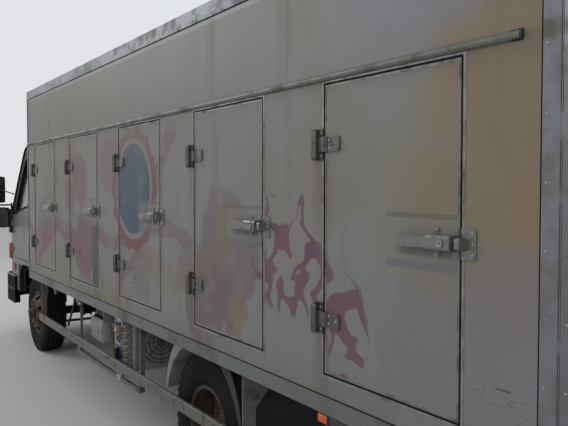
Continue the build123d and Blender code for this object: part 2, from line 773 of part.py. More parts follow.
lamp_zone = block((lamp_x, x_cab_front + 50), (lamp_y, cab_width / 2 + 50), lamp_z)
lamp_body = (outer_form - cab_form(30)) & lamp_zone
cab_shell -= lamp_body
cab_shell -= other_side(lamp_body)
cab_pin_x = cab_door_front + cab_door_gap / 2
cab_pin_y = cab_width / 2 + 10
cab_hinge_places = (990, 1270)
cab_hinge_half = 30
cab_barrel_radius = 9
cab_pin_radius = 5
cab_knuckle_half = 12


def cab_hinge(z, reach, parts, radius):
    """The barrel pieces of one half of a cab hinge, and their plate."""
    half = block((cab_pin_x, cab_pin_x + reach), (cab_width / 2, cab_pin_y + 2), (z + parts[0][0], z + parts[-1][1]))
    for low, high in parts:
        half += rod(radius, cab_pin_x, cab_pin_y, (z + low, z + high))
    return half


for z in cab_hinge_places:
    plate = cab_hinge(z, 32, [(-cab_hinge_half, cab_hinge_half)], cab_barrel_radius)
    plate -= block((cab_pin_x - 12, cab_pin_x + 12), (cab_width / 2 - 1, cab_pin_y + 12),
                   (z - cab_knuckle_half, z + cab_knuckle_half))
    plate += rod(cab_pin_radius, cab_pin_x, cab_pin_y, (z - cab_knuckle_half - 2, z + cab_knuckle_half + 2))
    cab_shell += plate
    cab_shell += other_side(plate)
nodes["cab_shell"] = cab_shell
nodes["headlamps"] = both_sides(lamp_body)

cab_door = (outer_form - inner_form) & door_prism
left_door = cab_door - window_prism
for z in cab_hinge_places:
    strap = cab_hinge(z, -40, [(0.5 - cab_knuckle_half, cab_knuckle_half - 0.5)], cab_barrel_radius)
    left_door += strap - rod(cab_pin_radius + barrel_clear, cab_pin_x, cab_pin_y, (z - 20, z + 20))
left_glass = glass_skin & window_prism
nodes["left_cab_door"] = left_door
nodes["right_cab_door"] = other_side(left_door)
nodes["left_door_glass"] = left_glass
nodes["right_door_glass"] = other_side(left_glass)
nodes["cab_glass"] = Compound(children=[glass_skin & screen_prism, glass_skin & rear_window_prism])

# Bumper: a band round the cab's front that ends behind the fender panel.
bumper_z = (405, cab_bottom - 2)
bumper_rear = bumper_side_front + 4


def bumper_plan(proud):
    half = cab_width / 2 + proud - bumper_proud + 25
    nose = x_cab_front + proud
    return outline([
        (bumper_rear - 100, -half, 0),
        (nose - 30, -half, 280),
        (nose, -nose_half, 600),
        (nose, nose_half, 600),
        (nose - 30, half, 280),
        (bumper_rear - 100, half, 0),
    ])


bumper_wall = 55
bumper_return = 40
bumper_brace = 60
bumper = plan_prism(bumper_plan(bumper_proud), bumper_z)
bumper -= plan_prism(bumper_plan(bumper_proud - bumper_wall), (bumper_z[0] - 1, bumper_z[1] + 1))
bumper &= block((bumper_rear, x_cab_front + 200), half_span, bumper_z)
bumper = chamfer(bumper.edges().group_by(Axis.Z)[-1].filter_by(lambda edge: edge.length > 500), 12)
for turn in (-1, 1):
    brace_y = (turn * (rail_outer - bumper_brace), turn * rail_outer)
    bumper += block((rail_x[1], x_cab_front + 20), brace_y, (570, 690))
nodes["front_bumper"] = bumper

# Mirrors: a main mirror and a wide one below it, on a bent arm from the windscreen pillar.
mirror_x = cab_door_front + 60
mirror_tube = 11
mirror_post_y = cab_width / 2 + 150
mirror_rows = [
    # inner y, outer y, bottom z, top z, corner radius
    (1075, 1265, 1500, 1790, 40),
    (1035, 1200, 1225, 1450, 45),
]
arm_places = (1475, 1335)
base_thickness = 12
mirror_arm = rod(mirror_tube, mirror_x, mirror_post_y, (mirror_rows[1][2] + 20, mirror_rows[0][3] - 20))
for z in arm_places:
    mirror_arm += rod(mirror_tube - 2, mirror_x, (cab_width / 2 + base_thickness / 2, mirror_post_y), z)
mirror_arm += side_prism(outline([
    (mirror_x - 8, 1170, 5),
    (mirror_x + 14, 1170, 5),
    (mirror_x + 18, arm_places[0] + 24, 12),
    (mirror_x - 20, arm_places[0] + 24, 12),
    (mirror_x - 20, arm_places[1] - 30, 12),
]), (cab_width / 2, cab_width / 2 + base_thickness))
for inner, outer, low, high, corner in mirror_rows:
    face = RectangleRounded(outer - inner, high - low, corner)
    head = front_prism(Pos((inner + outer) / 2, (low + high) / 2) * face, (mirror_x - 25, mirror_x + 45))
    mirror_arm += fillet(head.faces().sort_by(Axis.X)[-1].edges(), 20)
nodes["mirrors"] = both_sides(mirror_arm)

# Cab inside: dashboard, steering wheel and two seats.
dash_face = outline([
    (x_cab_front - 330, cab_floor_top, 0),
    (x_cab_front - 150, cab_floor_top, 0),
    (x_cab_front - 150, belt - 60, 60),
    (x_cab_front - 300, belt - 25, 120),
    (x_cab_front - 430, belt - 50, 45),
    (x_cab_front - 460, belt - 230, 60),
])
nodes["dashboard"] = side_prism(dash_face, (-760, 760))
steering_place = Pos(x_cab_front - 610, 480, belt + 130) * Rot(0, -35, 0)
ring = steering_place * Torus(205, 14)
hub = steering_place * Cylinder(45, 30)
spokes = steering_place * Box(400, 30, 12) + steering_place * Pos(-100, 0, 0) * Box(200, 36, 12)
column = steering_place * Pos(0, 0, -165) * Cylinder(30, 330)
nodes["steering_wheel"] = ring + hub + spokes + (column - nodes["dashboard"])
seat_x = x_cab_rear + 180
seat_y = (230, 730)
seat_plinth = side_prism(outline([
    (seat_x + 150, cab_floor_top, 0),
    (seat_x + 600, cab_floor_top, 0),
    (seat_x + 560, cab_floor_top + 240, 30),
    (seat_x + 170, cab_floor_top + 240, 30),
]), (seat_y[0] + 30, seat_y[1] - 30))
seat_cushion = side_prism(outline([
    (seat_x + 130, cab_floor_top + 235, 20),
    (seat_x + 630, cab_floor_top + 235, 40),
    (seat_x + 650, cab_floor_top + 385, 60),
    (seat_x + 150, cab_floor_top + 350, 30),
]), seat_y)
seat_back = side_prism(outline([
    (seat_x + 110, cab_floor_top + 260, 40),
    (seat_x + 250, cab_floor_top + 300, 60),
    (seat_x + 140, cab_floor_top + 860, 60),
    (seat_x + 10, cab_floor_top + 840, 60),
]), seat_y)
head_rest = side_prism(outline([
    (seat_x + 15, cab_floor_top + 880, 30),
    (seat_x + 120, cab_floor_top + 890, 40),
    (seat_x + 110, cab_floor_top + 1060, 40),
    (seat_x + 20, cab_floor_top + 1050, 40),
]), (seat_y[0] + 120, seat_y[1] - 120))
seat = seat_plinth + seat_cushion + seat_back + head_rest
for y in (seat_y[0] + 190, seat_y[1] - 190):
    seat += rod(8, seat_x + 68, y, (cab_floor_top + 820, cab_floor_top + 920))
nodes["seats"] = both_sides(seat)

# Side guards: two rails on hangers that widen to a gusset under the sill
guard_z = 465
guard_height = 68
guard_outer = 1085
guard_thickness = 25
low_rail = (380, 405)
hanger_half = 4
hanger_outer = 1070
gusset_z = (620, 700)
hanger_rows = [
    # x, width along the rail's depth, width of the gusset under the sill, reaches the lower rail
    (x_box_front - 360, 48, 60, False),
    (x_box_front - 1590, 20, 24, True),
    (x_box_front - 2870, 28, 40, True),
    (rear_axle_x - 490, 70, 140, False),
]
guard_z_span = (guard_z - guard_height / 2, guard_z + guard_height / 2)
guard_x = (hanger_rows[-1][0] - 40, hanger_rows[0][0] + 30)
guard_y = (guard_outer - guard_thickness, guard_outer)
guard = block(guard_x, guard_y, guard_z_span)
guard = fillet(guard.edges().filter_by(Axis.X), 8)
guard += block((hanger_rows[2][0] - 20, hanger_rows[1][0] + 20), guard_y, low_rail)
for x, width, gusset, reaches_down in hanger_rows:
    low = low_rail[0] if reaches_down else guard_z_span[0]
    guard += front_prism(outline([
        (hanger_outer - width, low, 5),
        (hanger_outer, low, 5),
        (hanger_outer, box_bottom, 0),
        (hanger_outer - gusset, box_bottom, 0),
        (hanger_outer - gusset, gusset_z[1], 5),
        (hanger_outer - width, gusset_z[0], 5),
    ]), (x - hanger_half, x + hanger_half))
nodes["side_guards"] = both_sides(guard)

# Electrical cabinet with its relay block on top, and the small meter box, hung from the bearers
cabinet_x = (x_box_front - 1940, x_box_front - 1650)
cabinet = fillet(block(cabinet_x, (900, 1000), (505, 676)).edges().filter_by(Axis.Y), 12)
cabinet += block((cabinet_x[0] + 40, cabinet_x[1] - 40), (905, 975), (676, 745))
strap_half = 15
side_plate = 6
cabinet += block((cabinet_x[0] - side_plate, cabinet_x[0]), (925, 1000), (505, box_bottom))
cabinet += block((cabinet_x[0] - side_plate, bearer_places[4] + strap_half), (905, 1000),
                 (box_bottom - side_plate, box_bottom))
for x in (bearer_places[4], bearer_places[3]):
    cabinet += block((x - strap_half, x + strap_half), (905, 911), (640, bearer_low))
meter_x = (x_box_front - 2354, x_box_front - 2225)
meter = fillet(block(meter_x, (955, 1030), (650, 710)).edges().filter_by(Axis.X), 10)
meter += block((bearer_places[6] - strap_half, bearer_places[6] + strap_half), (960, 966), (700, bearer_low))
nodes["electrical_cabinet"] = Compound(children=[cabinet, meter])

# Condensing unit: a cased coil under a bearer, and its compressor on a tray beside it
unit_x = (x_box_front - 2609, x_box_front - 2386)
unit_y = (640, 1000)
unit_z = (446, bearer_low)
unit_wall = 12
unit = block(unit_x, unit_y, unit_z)
unit -= block((unit_x[0] + unit_wall, unit_x[1] - unit_wall), (unit_y[0] - 1, unit_y[1] - unit_wall),
              (unit_z[0] + unit_wall, unit_z[1] - unit_wall))
pot_x = x_box_front - 2115
pot_y = 870
pot_z = (403, 533)
pot_radius = 85
tray_thickness = 6
pot = fillet(rod(pot_radius, pot_x, pot_y, pot_z).edges().group_by(Axis.Z)[-1], 40)
tray = block((pot_x - pot_radius, pot_x + pot_radius), (pot_y - 100, pot_y + 100),
             (pot_z[0] - tray_thickness, pot_z[0]))
for y in (pot_y - 97, pot_y + 97):
    tray += block((pot_x - strap_half, pot_x + strap_half), (y - 3, y + 3), (pot_z[0] - tray_thickness, bearer_low))
nodes["condensing_unit"] = Compound(children=[unit, pot + tray])

# Fuel tank on the right, held to the rail by two brackets
tank_x = (x_box_front - 2370, x_box_front - 1470)
tank_outer = -900
tank_corner = 70
cap_radius = 45
tank = block(tank_x, (tank_outer, -rail_outer - 30), (400, 760))
tank = fillet(tank.edges().filter_by(Axis.X), tank_corner)
for x in (tank_x[0] + 150, tank_x[1] - 150):
    tank += block((x - 25, x + 25), (-700, -rail_outer), (600, 640))
tank += rod(cap_radius, tank_x[1] - 120, (tank_outer - 25, tank_outer + 20), 690)
nodes["fuel_tank"] = tank

# Exhaust: from the engine along the gearbox, then across behind the spring to the silencer
exhaust_y = -620
exhaust_z = 505
pipe_radius = 30
silencer_radius = 105
silencer_x = (x_box_front - 1120, x_box_front - 520)
down_x = x_box_front - 420
down_y = -220
tail_x = x_box_front - 1340
silencer = rod(silencer_radius, silencer_x, exhaust_y, exhaust_z)
silencer = fillet(silencer.edges(), 25)
silencer += rod(pipe_radius, (tail_x, down_x), exhaust_y, exhaust_z)
silencer += rod(pipe_radius, down_x, (exhaust_y, down_y), exhaust_z)
silencer += rod(pipe_radius, (down_x, engine_x[0]), down_y, exhaust_z)
silencer += rod(pipe_radius, tail_x, (-1040, exhaust_y), exhaust_z)
for x, y in ((tail_x, exhaust_y), (down_x, exhaust_y), (down_x, down_y)):
    silencer += Pos(x, y, exhaust_z) * Sphere(pipe_radius)
for x in (silencer_x[0] + 100, silencer_x[1] - 100):
    silencer += block((x - 15, x + 15), (exhaust_y, -rail_outer), (exhaust_z + 90, exhaust_z + 120))
nodes["exhaust_silencer"] = silencer

# Rear mudguards: curved sheets with a rolled outer lip, a flap behind and a marker lamp
guard_inner = tyre_radius + 52
sheet = 5
mud_y = (560, 1055)
lip_radius = guard_inner + 6
lip_rise = 80
mudguard = rod(guard_inner + sheet, rear_axle_x, mud_y, wheel_z)
mudguard += rod(lip_radius, rear_axle_x, (mud_y[1] - sheet, mud_y[1]), wheel_z + lip_rise)
mudguard -= rod(guard_inner, rear_axle_x, (mud_y[0] - 1, mud_y[1] + 1), wheel_z)
keep = block((rear_axle_x, rear_axle_x + 600), mud_y, (guard_z_span[1] + 8, wall_bottom - 5))
keep += block((rear_axle_x - 600, rear_axle_x), mud_y, (wheel_z - 40, wall_bottom - 5))
mudguard &= keep
mudguard -= block((rear_axle_x - 600, rear_axle_x + 600), (panel_y - sill_width - 6, mud_y[1] + 1),
                  (box_bottom - 5, wall_bottom))
flap_x = rear_axle_x - guard_inner - sheet
mudguard += block((flap_x, flap_x + sheet), (mud_y[0] + 10, mud_y[1] - 20), (210, wheel_z))
stay_radius = 10
stay_circle = guard_inner + sheet + 6
for angle in (35, 145):
    mudguard += rod(stay_radius, rear_axle_x + stay_circle * cos(radians(angle)), (rail_outer, mud_y[1] - 15),
                    wheel_z + stay_circle * sin(radians(angle)))
nodes["rear_mudguards"] = both_sides(mudguard)

bar_x = (x_rear + 40, x_rear + 110)
underrun = block(bar_x, (-980, 980), (430, 530))
for y in (-rail_outer + 20, rail_outer - 20):
    underrun += block(bar_x, (y - 20, y + 20), (530, rail_bottom))
nodes["rear_underrun_bar"] = underrun
lamp = block((x_rear + 40, x_rear + 90), (560, 960), (530, 655))
lamp = fillet(lamp.edges().group_by(Axis.X)[0], 10)
nodes["rear_lamps"] = both_sides(lamp)

for name, shape in nodes.items():
    solids = shape.solids()
    whole = solids[0] if len(solids) == 1 else Compound(children=solids)
    export_step(whole, f"parts/{name}.step")
    print(name, len(solids), round(sum(solid.volume for solid in solids) / 1e9, 4))
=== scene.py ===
# %% [markdown]
# # An insulated ice cream truck
# This lesson dresses a finished CAD model of the truck. The CAD model gives every size and
# place, so each step here only adds what a maker would add last: seals, screws, tread, lamps,
# paint and years of dirt. Nothing is moved, and every new piece is told which moving part of
# the truck carries it.

from math import cos, pi, radians, sin

import bpy
from mathutils import Matrix, Vector


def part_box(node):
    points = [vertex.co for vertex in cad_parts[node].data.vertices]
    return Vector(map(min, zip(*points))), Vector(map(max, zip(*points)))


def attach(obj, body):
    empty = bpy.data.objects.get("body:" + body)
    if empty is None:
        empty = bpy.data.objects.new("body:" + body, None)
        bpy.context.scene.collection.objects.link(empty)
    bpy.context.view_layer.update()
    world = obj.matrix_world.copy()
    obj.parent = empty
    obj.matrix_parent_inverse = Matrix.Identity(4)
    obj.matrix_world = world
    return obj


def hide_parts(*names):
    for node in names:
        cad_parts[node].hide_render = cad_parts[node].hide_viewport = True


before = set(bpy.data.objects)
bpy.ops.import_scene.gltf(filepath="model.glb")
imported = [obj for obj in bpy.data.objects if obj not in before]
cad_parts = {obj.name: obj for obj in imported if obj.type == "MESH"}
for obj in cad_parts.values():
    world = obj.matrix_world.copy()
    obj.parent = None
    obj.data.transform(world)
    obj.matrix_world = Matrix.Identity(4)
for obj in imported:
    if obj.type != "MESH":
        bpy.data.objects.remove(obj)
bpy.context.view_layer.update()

# %% [markdown]
# ## The camera
# The photograph was taken from beside the truck's rear left corner, at eye height, with a lens
# whose focal length is about one and a quarter times the picture's width. The camera's place,
# its turn and its lens were worked out from the straight edges of the box, so the model and the
# photograph line up.

# %% Place the camera
image_width = 568
focal_pixels = 700
camera_place = Vector((-4.903, 2.657, 1.667))
camera_yaw = radians(32.6)
camera_pitch = radians(2.07)
look = Vector((cos(camera_yaw) * cos(camera_pitch), -sin(camera_yaw) * cos(camera_pitch),
               -sin(camera_pitch)))
camera_data = bpy.data.cameras.new("photo_camera")
camera_data.sensor_width = 36
camera_data.lens = focal_pixels * camera_data.sensor_width / image_width
camera = bpy.data.objects.new("photo_camera", camera_data)
camera_turn = look.to_track_quat("-Z", "Y").to_matrix().to_4x4()
camera.matrix_world = Matrix.Translation(camera_place) @ camera_turn
bpy.context.scene.collection.objects.link(camera)
bpy.context.scene.camera = camera
print("lens", round(camera_data.lens, 2), "mm")

# %% [markdown]
# ## Shader sums
# A material is a net of nodes. Sums in that net are easier to read as sums, so a small class
# wraps a socket and answers to plus, minus, times and the rest by adding a Math node. Every
# other node comes from one method, which sets the node up before it fills its sockets.

# %% A socket that can be used like a number


class Link:
    """A shader socket that adds, multiplies and takes powers as a number does."""

    def __init__(self, socket):
        self.socket = socket

    def math(self, operation, other=0.0, swapped=False):
        """A Math node on this socket and another value, or the other way round if swapped."""
        tree = self.socket.id_data
        node = tree.nodes.new("ShaderNodeMath")
        node.operation = operation
        for place, value in enumerate((other, self) if swapped else (self, other)):
            fill(tree, node.inputs[place], value)
        return Link(node.outputs[0])

    def __add__(self, other):
        return self.math("ADD", other)

    def __radd__(self, other):
        return self.math("ADD", other)

    def __sub__(self, other):
        return self.math("SUBTRACT", other)

    def __rsub__(self, other):
        return self.math("SUBTRACT", other, swapped=True)

    def __mul__(self, other):
        return self.math("MULTIPLY", other)

    def __rmul__(self, other):
        return self.math("MULTIPLY", other)

    def __truediv__(self, other):
        return self.math("DIVIDE", other)

    def __pow__(self, other):
        return self.math("POWER", other)

    def __abs__(self):
        return self.math("ABSOLUTE")


def fill(tree, socket, value):
    """Links a socket, or sets its own value."""
    if isinstance(value, Link):
        tree.links.new(value.socket, socket)
    elif isinstance(value, tuple) and len(value) == 3 and socket.type == "RGBA":
        socket.default_value = (*value, 1)
    else:
        socket.default_value = value


# %% A material builder with one method for nodes


class Finish:
    """A material under construction."""

    def __init__(self, name):
        self.material = bpy.data.materials.new(name)
        self.material.use_nodes = True
        self.tree = self.material.node_tree
        self.tree.nodes.clear()
        self.shader = self.tree.nodes.new("ShaderNodeBsdfPrincipled")
        self.surface = Link(self.shader.outputs[0])
        self.out = self.tree.nodes.new("ShaderNodeOutputMaterial")
        self.point = self.node("ShaderNodeTexCoord", out="Object")
        self.x, self.y, self.z = [self.node("ShaderNodeSeparateXYZ", {}, {0: self.point}, axis)
                                  for axis in "XYZ"]

    def node(self, kind, settings=None, sockets=None, out=0):
        """Adds a node: its settings first, then its sockets. Gives the output that is asked for."""
        node = self.tree.nodes.new(kind)
        for name, value in (settings or {}).items():
            if name == "stops":
                ramp = node.color_ramp.elements
                while len(ramp) < len(value):
                    ramp.new(1)
                for element, (place, colour) in zip(ramp, value):
                    element.position = place
                    element.color = (*colour, 1)
            else:
                setattr(node, name, value)
        for name, value in (sockets or {}).items():
            fill(self.tree, node.inputs[name], value)
        return Link(node.outputs[out])

    def noise(self, scale, detail=3.0, rough=0.55, warp=0.0, stretch=None):
        """Cloudy noise from 0 to 1, with most of it near 0.5."""
        place = self.point
        if stretch:
            place = self.node("ShaderNodeMapping", {}, {"Vector": place, "Scale": stretch})
        return self.node("ShaderNodeTexNoise", {}, {"Vector": place, "Scale": scale, "Detail": detail,
                                                    "Roughness": rough, "Distortion": warp})

    def step(self, value, low, high):
        """0 below low, 1 above high and a smooth ramp between them."""
        return self.node("ShaderNodeMapRange", {"interpolation_type": "SMOOTHSTEP"},
                         {"Value": value, "From Min": low, "From Max": high})

    def mix(self, share, first, second):
        """The first colour turning to the second as the share goes from 0 to 1."""
        return self.node("ShaderNodeMix", {"data_type": "RGBA"}, {0: share, 6: first, 7: second}, 2)

    def bump(self, height, distance, strength=1.0):
        """A normal that rises and falls with the height, by a distance in metres."""
        sockets = {"Height": height, "Distance": distance, "Strength": strength}
        return self.node("ShaderNodeBump", {}, sockets)

    def done(self, **values):
        """Fills the shader's sockets and joins it to the output."""
        for name, value in values.items():
            fill(self.tree, self.shader.inputs[name.replace("_", " ").title()], value)
        self.tree.links.new(self.surface.socket, self.out.inputs[0])
        return self.material


def tint(red, green, blue):
    """A colour written as a screen shows it, 0 to 255, turned to light."""
    shares = [value / 255 for value in (red, green, blue)]
    return tuple(share / 12.92 if share < 0.04045 else ((share + 0.055) / 1.055) ** 2.4
                 for share in shares)


print("shader helpers ready")

# %% [markdown]
# ## The box panels
# The box is skinned with white gelcoat that has gone grey. Years of sun and rain have left
# beige stains that start at the rear corner and under the drip rail, and a printed film has
# faded to soft pink, mauve and magenta washes. The stains could be painted by hand, but nodes
# that read the object's own coordinates stay sharp at any distance, so each mark is a small
# sum. The film's design here is a plain one: curved ribbons and round washes, half worn away.

# %% Name the places on the side wall
rail_z = 2.08
wall_face = 1.096
x_rear_corner = -3.78
first_door_front = 1.833
door_pitch = 1.146
door_length = 0.685
door_low, door_high = 0.959, 2.053
latch_z = 1.5
hinge_heights = (1.168, 1.83)
print("five doors of", door_length, "m, one every", door_pitch, "m")

# %% Mix the worn gelcoat
door_lead = 0.3


def along_door(finish):
    """How far back from its door's front edge a point lies, the same for every door."""
    return ((first_door_front + door_lead - finish.x) / door_pitch).math("FRACT") * door_pitch - door_lead


def gelcoat(finish):
    """Colour, roughness and height of a grey-white panel with stains and rain marks."""
    clean = finish.mix(finish.step(finish.x, -2.4, 1.6), tint(122, 123, 121), tint(117, 114, 106))
    cloud = finish.step(finish.noise(0.75, 4, 0.6, 0.4), 0.5, 0.72)
    rear = finish.step(finish.x + finish.noise(1.3, 3) * 0.9, -2.7, -3.35)
    rear = rear * finish.step(finish.z + finish.noise(1.7, 3) * 0.4, 1.55, 1.85)
    rear = rear * finish.step(finish.z, 2.5, 2.2)
    stain = (cloud * 0.5 + rear * 0.75).math("MINIMUM", 0.95)
    colour = finish.mix(stain, clean, tint(126, 113, 95))
    fleck = finish.step(finish.noise(5, 6, 0.7), 0.56, 0.8)
    colour = finish.mix(fleck * 0.35, colour, tint(108, 103, 92))
    rain = finish.step(finish.noise(9, 4, 0.6, stretch=(1, 0.2, 0.07)), 0.5, 0.78)
    colour = finish.mix(rain * 0.4, colour, tint(104, 98, 86))
    low = finish.step(finish.z + finish.noise(3, 4) * 0.25, 1.2, 0.95)
    colour = finish.mix(low * 0.4, colour, tint(100, 92, 82))
    speck = finish.step(finish.noise(60, 2, 0.5), 0.7, 0.76)
    colour = finish.mix(speck * 0.5, colour, tint(84, 76, 66))
    roughness = 0.42 + stain * 0.2 + rain * 0.1
    height = finish.noise(2.2, 2) * 0.6 + finish.noise(160, 2) * 0.03 - rain * 0.05
    return colour, roughness, height


# %% Print the worn film
magenta = tint(101, 66, 82)
coral_rows = [
    # centre x, centre z, half width, half height
    (-2.50, 1.33, 0.30, 0.20),
    (-2.88, 1.15, 0.13, 0.20),
    (-2.36, 1.52, 0.09, 0.12),
    (-2.62, 1.50, 0.07, 0.16),
]
ribbon_rows = [
    # centre x, centre z, radius, half width, lowest and highest z, colour, strength
    (-0.30, 2.35, 1.05, 0.060, 0.95, 2.04, tint(108, 82, 88), 0.8),
    (0.95, 0.35, 1.00, 0.085, 0.95, 1.90, tint(108, 76, 84), 0.9),
    (-1.25, 0.55, 0.88, 0.055, 0.95, 1.80, tint(110, 88, 92), 0.7),
    (1.75, 1.95, 0.70, 0.050, 0.95, 1.95, tint(98, 84, 88), 0.75),
    (-1.30, 1.95, 0.78, 0.085, 1.05, 1.62, tint(118, 106, 84), 0.6),
]
wash_rows = [
    # centre x, centre z, radius, how far in its edge fades, colour, strength
    (-3.70, 1.80, 0.62, 0.62, tint(127, 111, 88), 0.85),
    (-3.20, 2.48, 0.46, 0.45, tint(124, 126, 132), 0.85),
    (-3.52, 1.10, 0.44, 0.90, tint(120, 114, 117), 0.7),
    (-3.30, 1.62, 0.36, 0.62, tint(124, 117, 96), 0.6),
    (-2.80, 1.80, 0.30, 0.62, tint(118, 112, 98), 0.5),
    (-1.93, 1.36, 0.31, 0.86, tint(106, 93, 94), 0.85),
    (-1.72, 1.10, 0.26, 0.88, tint(100, 86, 88), 0.8),
    (-2.06, 1.05, 0.13, 0.80, tint(118, 104, 84), 0.8),
    (-1.50, 1.25, 0.16, 0.80, tint(110, 90, 92), 0.6),
    (-0.30, 1.80, 0.22, 0.84, tint(112, 84, 90), 0.75),
    (-0.86, 1.14, 0.18, 0.80, tint(112, 104, 100), 0.6),
    (0.30, 1.22, 0.28, 0.86, tint(104, 78, 83), 0.9),
    (0.42, 1.72, 0.20, 0.84, tint(104, 76, 82), 0.8),
    (0.70, 1.60, 0.15, 0.80, tint(106, 80, 86), 0.8),
    (0.74, 1.35, 0.13, 0.80, tint(110, 118, 116), 0.6),
    (1.48, 1.38, 0.24, 0.84, tint(98, 86, 88), 0.8),
    (1.35, 1.72, 0.17, 0.70, tint(112, 102, 88), 0.6),
    (-1.56, 1.03, 0.07, 0.62, tint(84, 108, 80), 0.75),
    (-0.015, 0.884, 0.045, 0.62, tint(84, 100, 60), 0.7),
]
badge_x, badge_z = -0.71, 1.66


def printed_badge(finish, colour, x, z, worn):
    """A plain blue roundel with a pale ring and a scalloped red edge."""
    across, rise = x - badge_x, z - badge_z
    far = (across ** 2 + rise ** 2) ** 0.5
    turn = finish.node("ShaderNodeMath", {"operation": "ARCTAN2"}, {0: rise, 1: across})
    scallop = abs((turn * 7).math("SINE")) * 0.03
    red = finish.step(far + scallop, 0.405, 0.397) * finish.step(far, 0.31, 0.32) * (0.3 + worn * 0.7)
    colour = finish.mix(red * 0.85, colour, tint(104, 60, 62))
    colour = finish.mix(finish.step(far, 0.318, 0.312) * 0.8, colour, tint(118, 117, 112))
    return finish.mix(finish.step(far, 0.285, 0.279) * (0.72 + worn * 0.25), colour, tint(46, 69, 88))


def worn_film(finish, colour):
    """Lays round washes, ribbons, a splash and a roundel over the panel, and wears them away."""
    wander = finish.noise(2.6, 4, 0.6) - 0.5
    edge = finish.noise(11, 4, 0.65) - 0.5
    x = finish.x + wander * 0.34
    z = finish.z + wander * 0.22
    worn = finish.step(finish.noise(4.2, 5, 0.7), 0.32, 0.5)
    for centre_x, centre_z, radius, fade, colour_of, strength in wash_rows:
        far = (((x - centre_x) ** 2 + (z - centre_z) ** 2) ** 0.5) + edge * 0.07
        share = finish.step(far, radius, radius * fade) * (0.45 + worn * 0.55) * strength
        colour = finish.mix(share, colour, colour_of)
    for centre_x, centre_z, radius, half, low, high, colour_of, strength in ribbon_rows:
        far = abs(((x - centre_x) ** 2 + (z - centre_z) ** 2) ** 0.5 - radius) + edge * 0.07
        band = finish.step(far, half, half * 0.6) * finish.step(z, low - 0.05, low + 0.05)
        share = band * finish.step(z, high + 0.04, high - 0.08) * worn * strength
        colour = finish.mix(share, colour, colour_of)
    branch = finish.step(abs(finish.noise(6.5, 1, 0.4, 0.6) - 0.5) + edge * 0.03, 0.075, 0.062)
    for centre_x, centre_z, half_x, half_z in coral_rows:
        far = (((finish.x - centre_x) / half_x) ** 2 + ((finish.z - centre_z) / half_z) ** 2) ** 0.5
        share = finish.step(far + edge * 0.5, 1.05, 0.9) * branch
        colour = finish.mix(share * 0.85, colour, magenta)
    grey_strip = finish.step(finish.x, 0.125, 0.118) * finish.step(finish.x, -0.001, 0.001)
    grey_strip = grey_strip * finish.step(finish.z, 1.40, 1.39)
    grey_strip = grey_strip * finish.step(finish.z, door_low, door_low + 0.002)
    colour = finish.mix(grey_strip * 0.95, colour, tint(62, 68, 68))
    twig = finish.step(abs(finish.noise(16, 3, 0.6, 1.0) - 0.5), 0.03, 0.012)
    twig = twig * finish.step(finish.noise(2.1, 1), 0.52, 0.6)
    reach = finish.step(finish.x, -1.1, -0.6) * finish.step(finish.x, 0.75, 0.6)
    reach = reach * finish.step(finish.z, 2.03, 1.98)
    colour = finish.mix(twig * reach * 0.7, colour, tint(74, 56, 52))
    return printed_badge(finish, colour, finish.x + edge * 0.012, finish.z + edge * 0.012, worn)


# %% Add what happens round each door


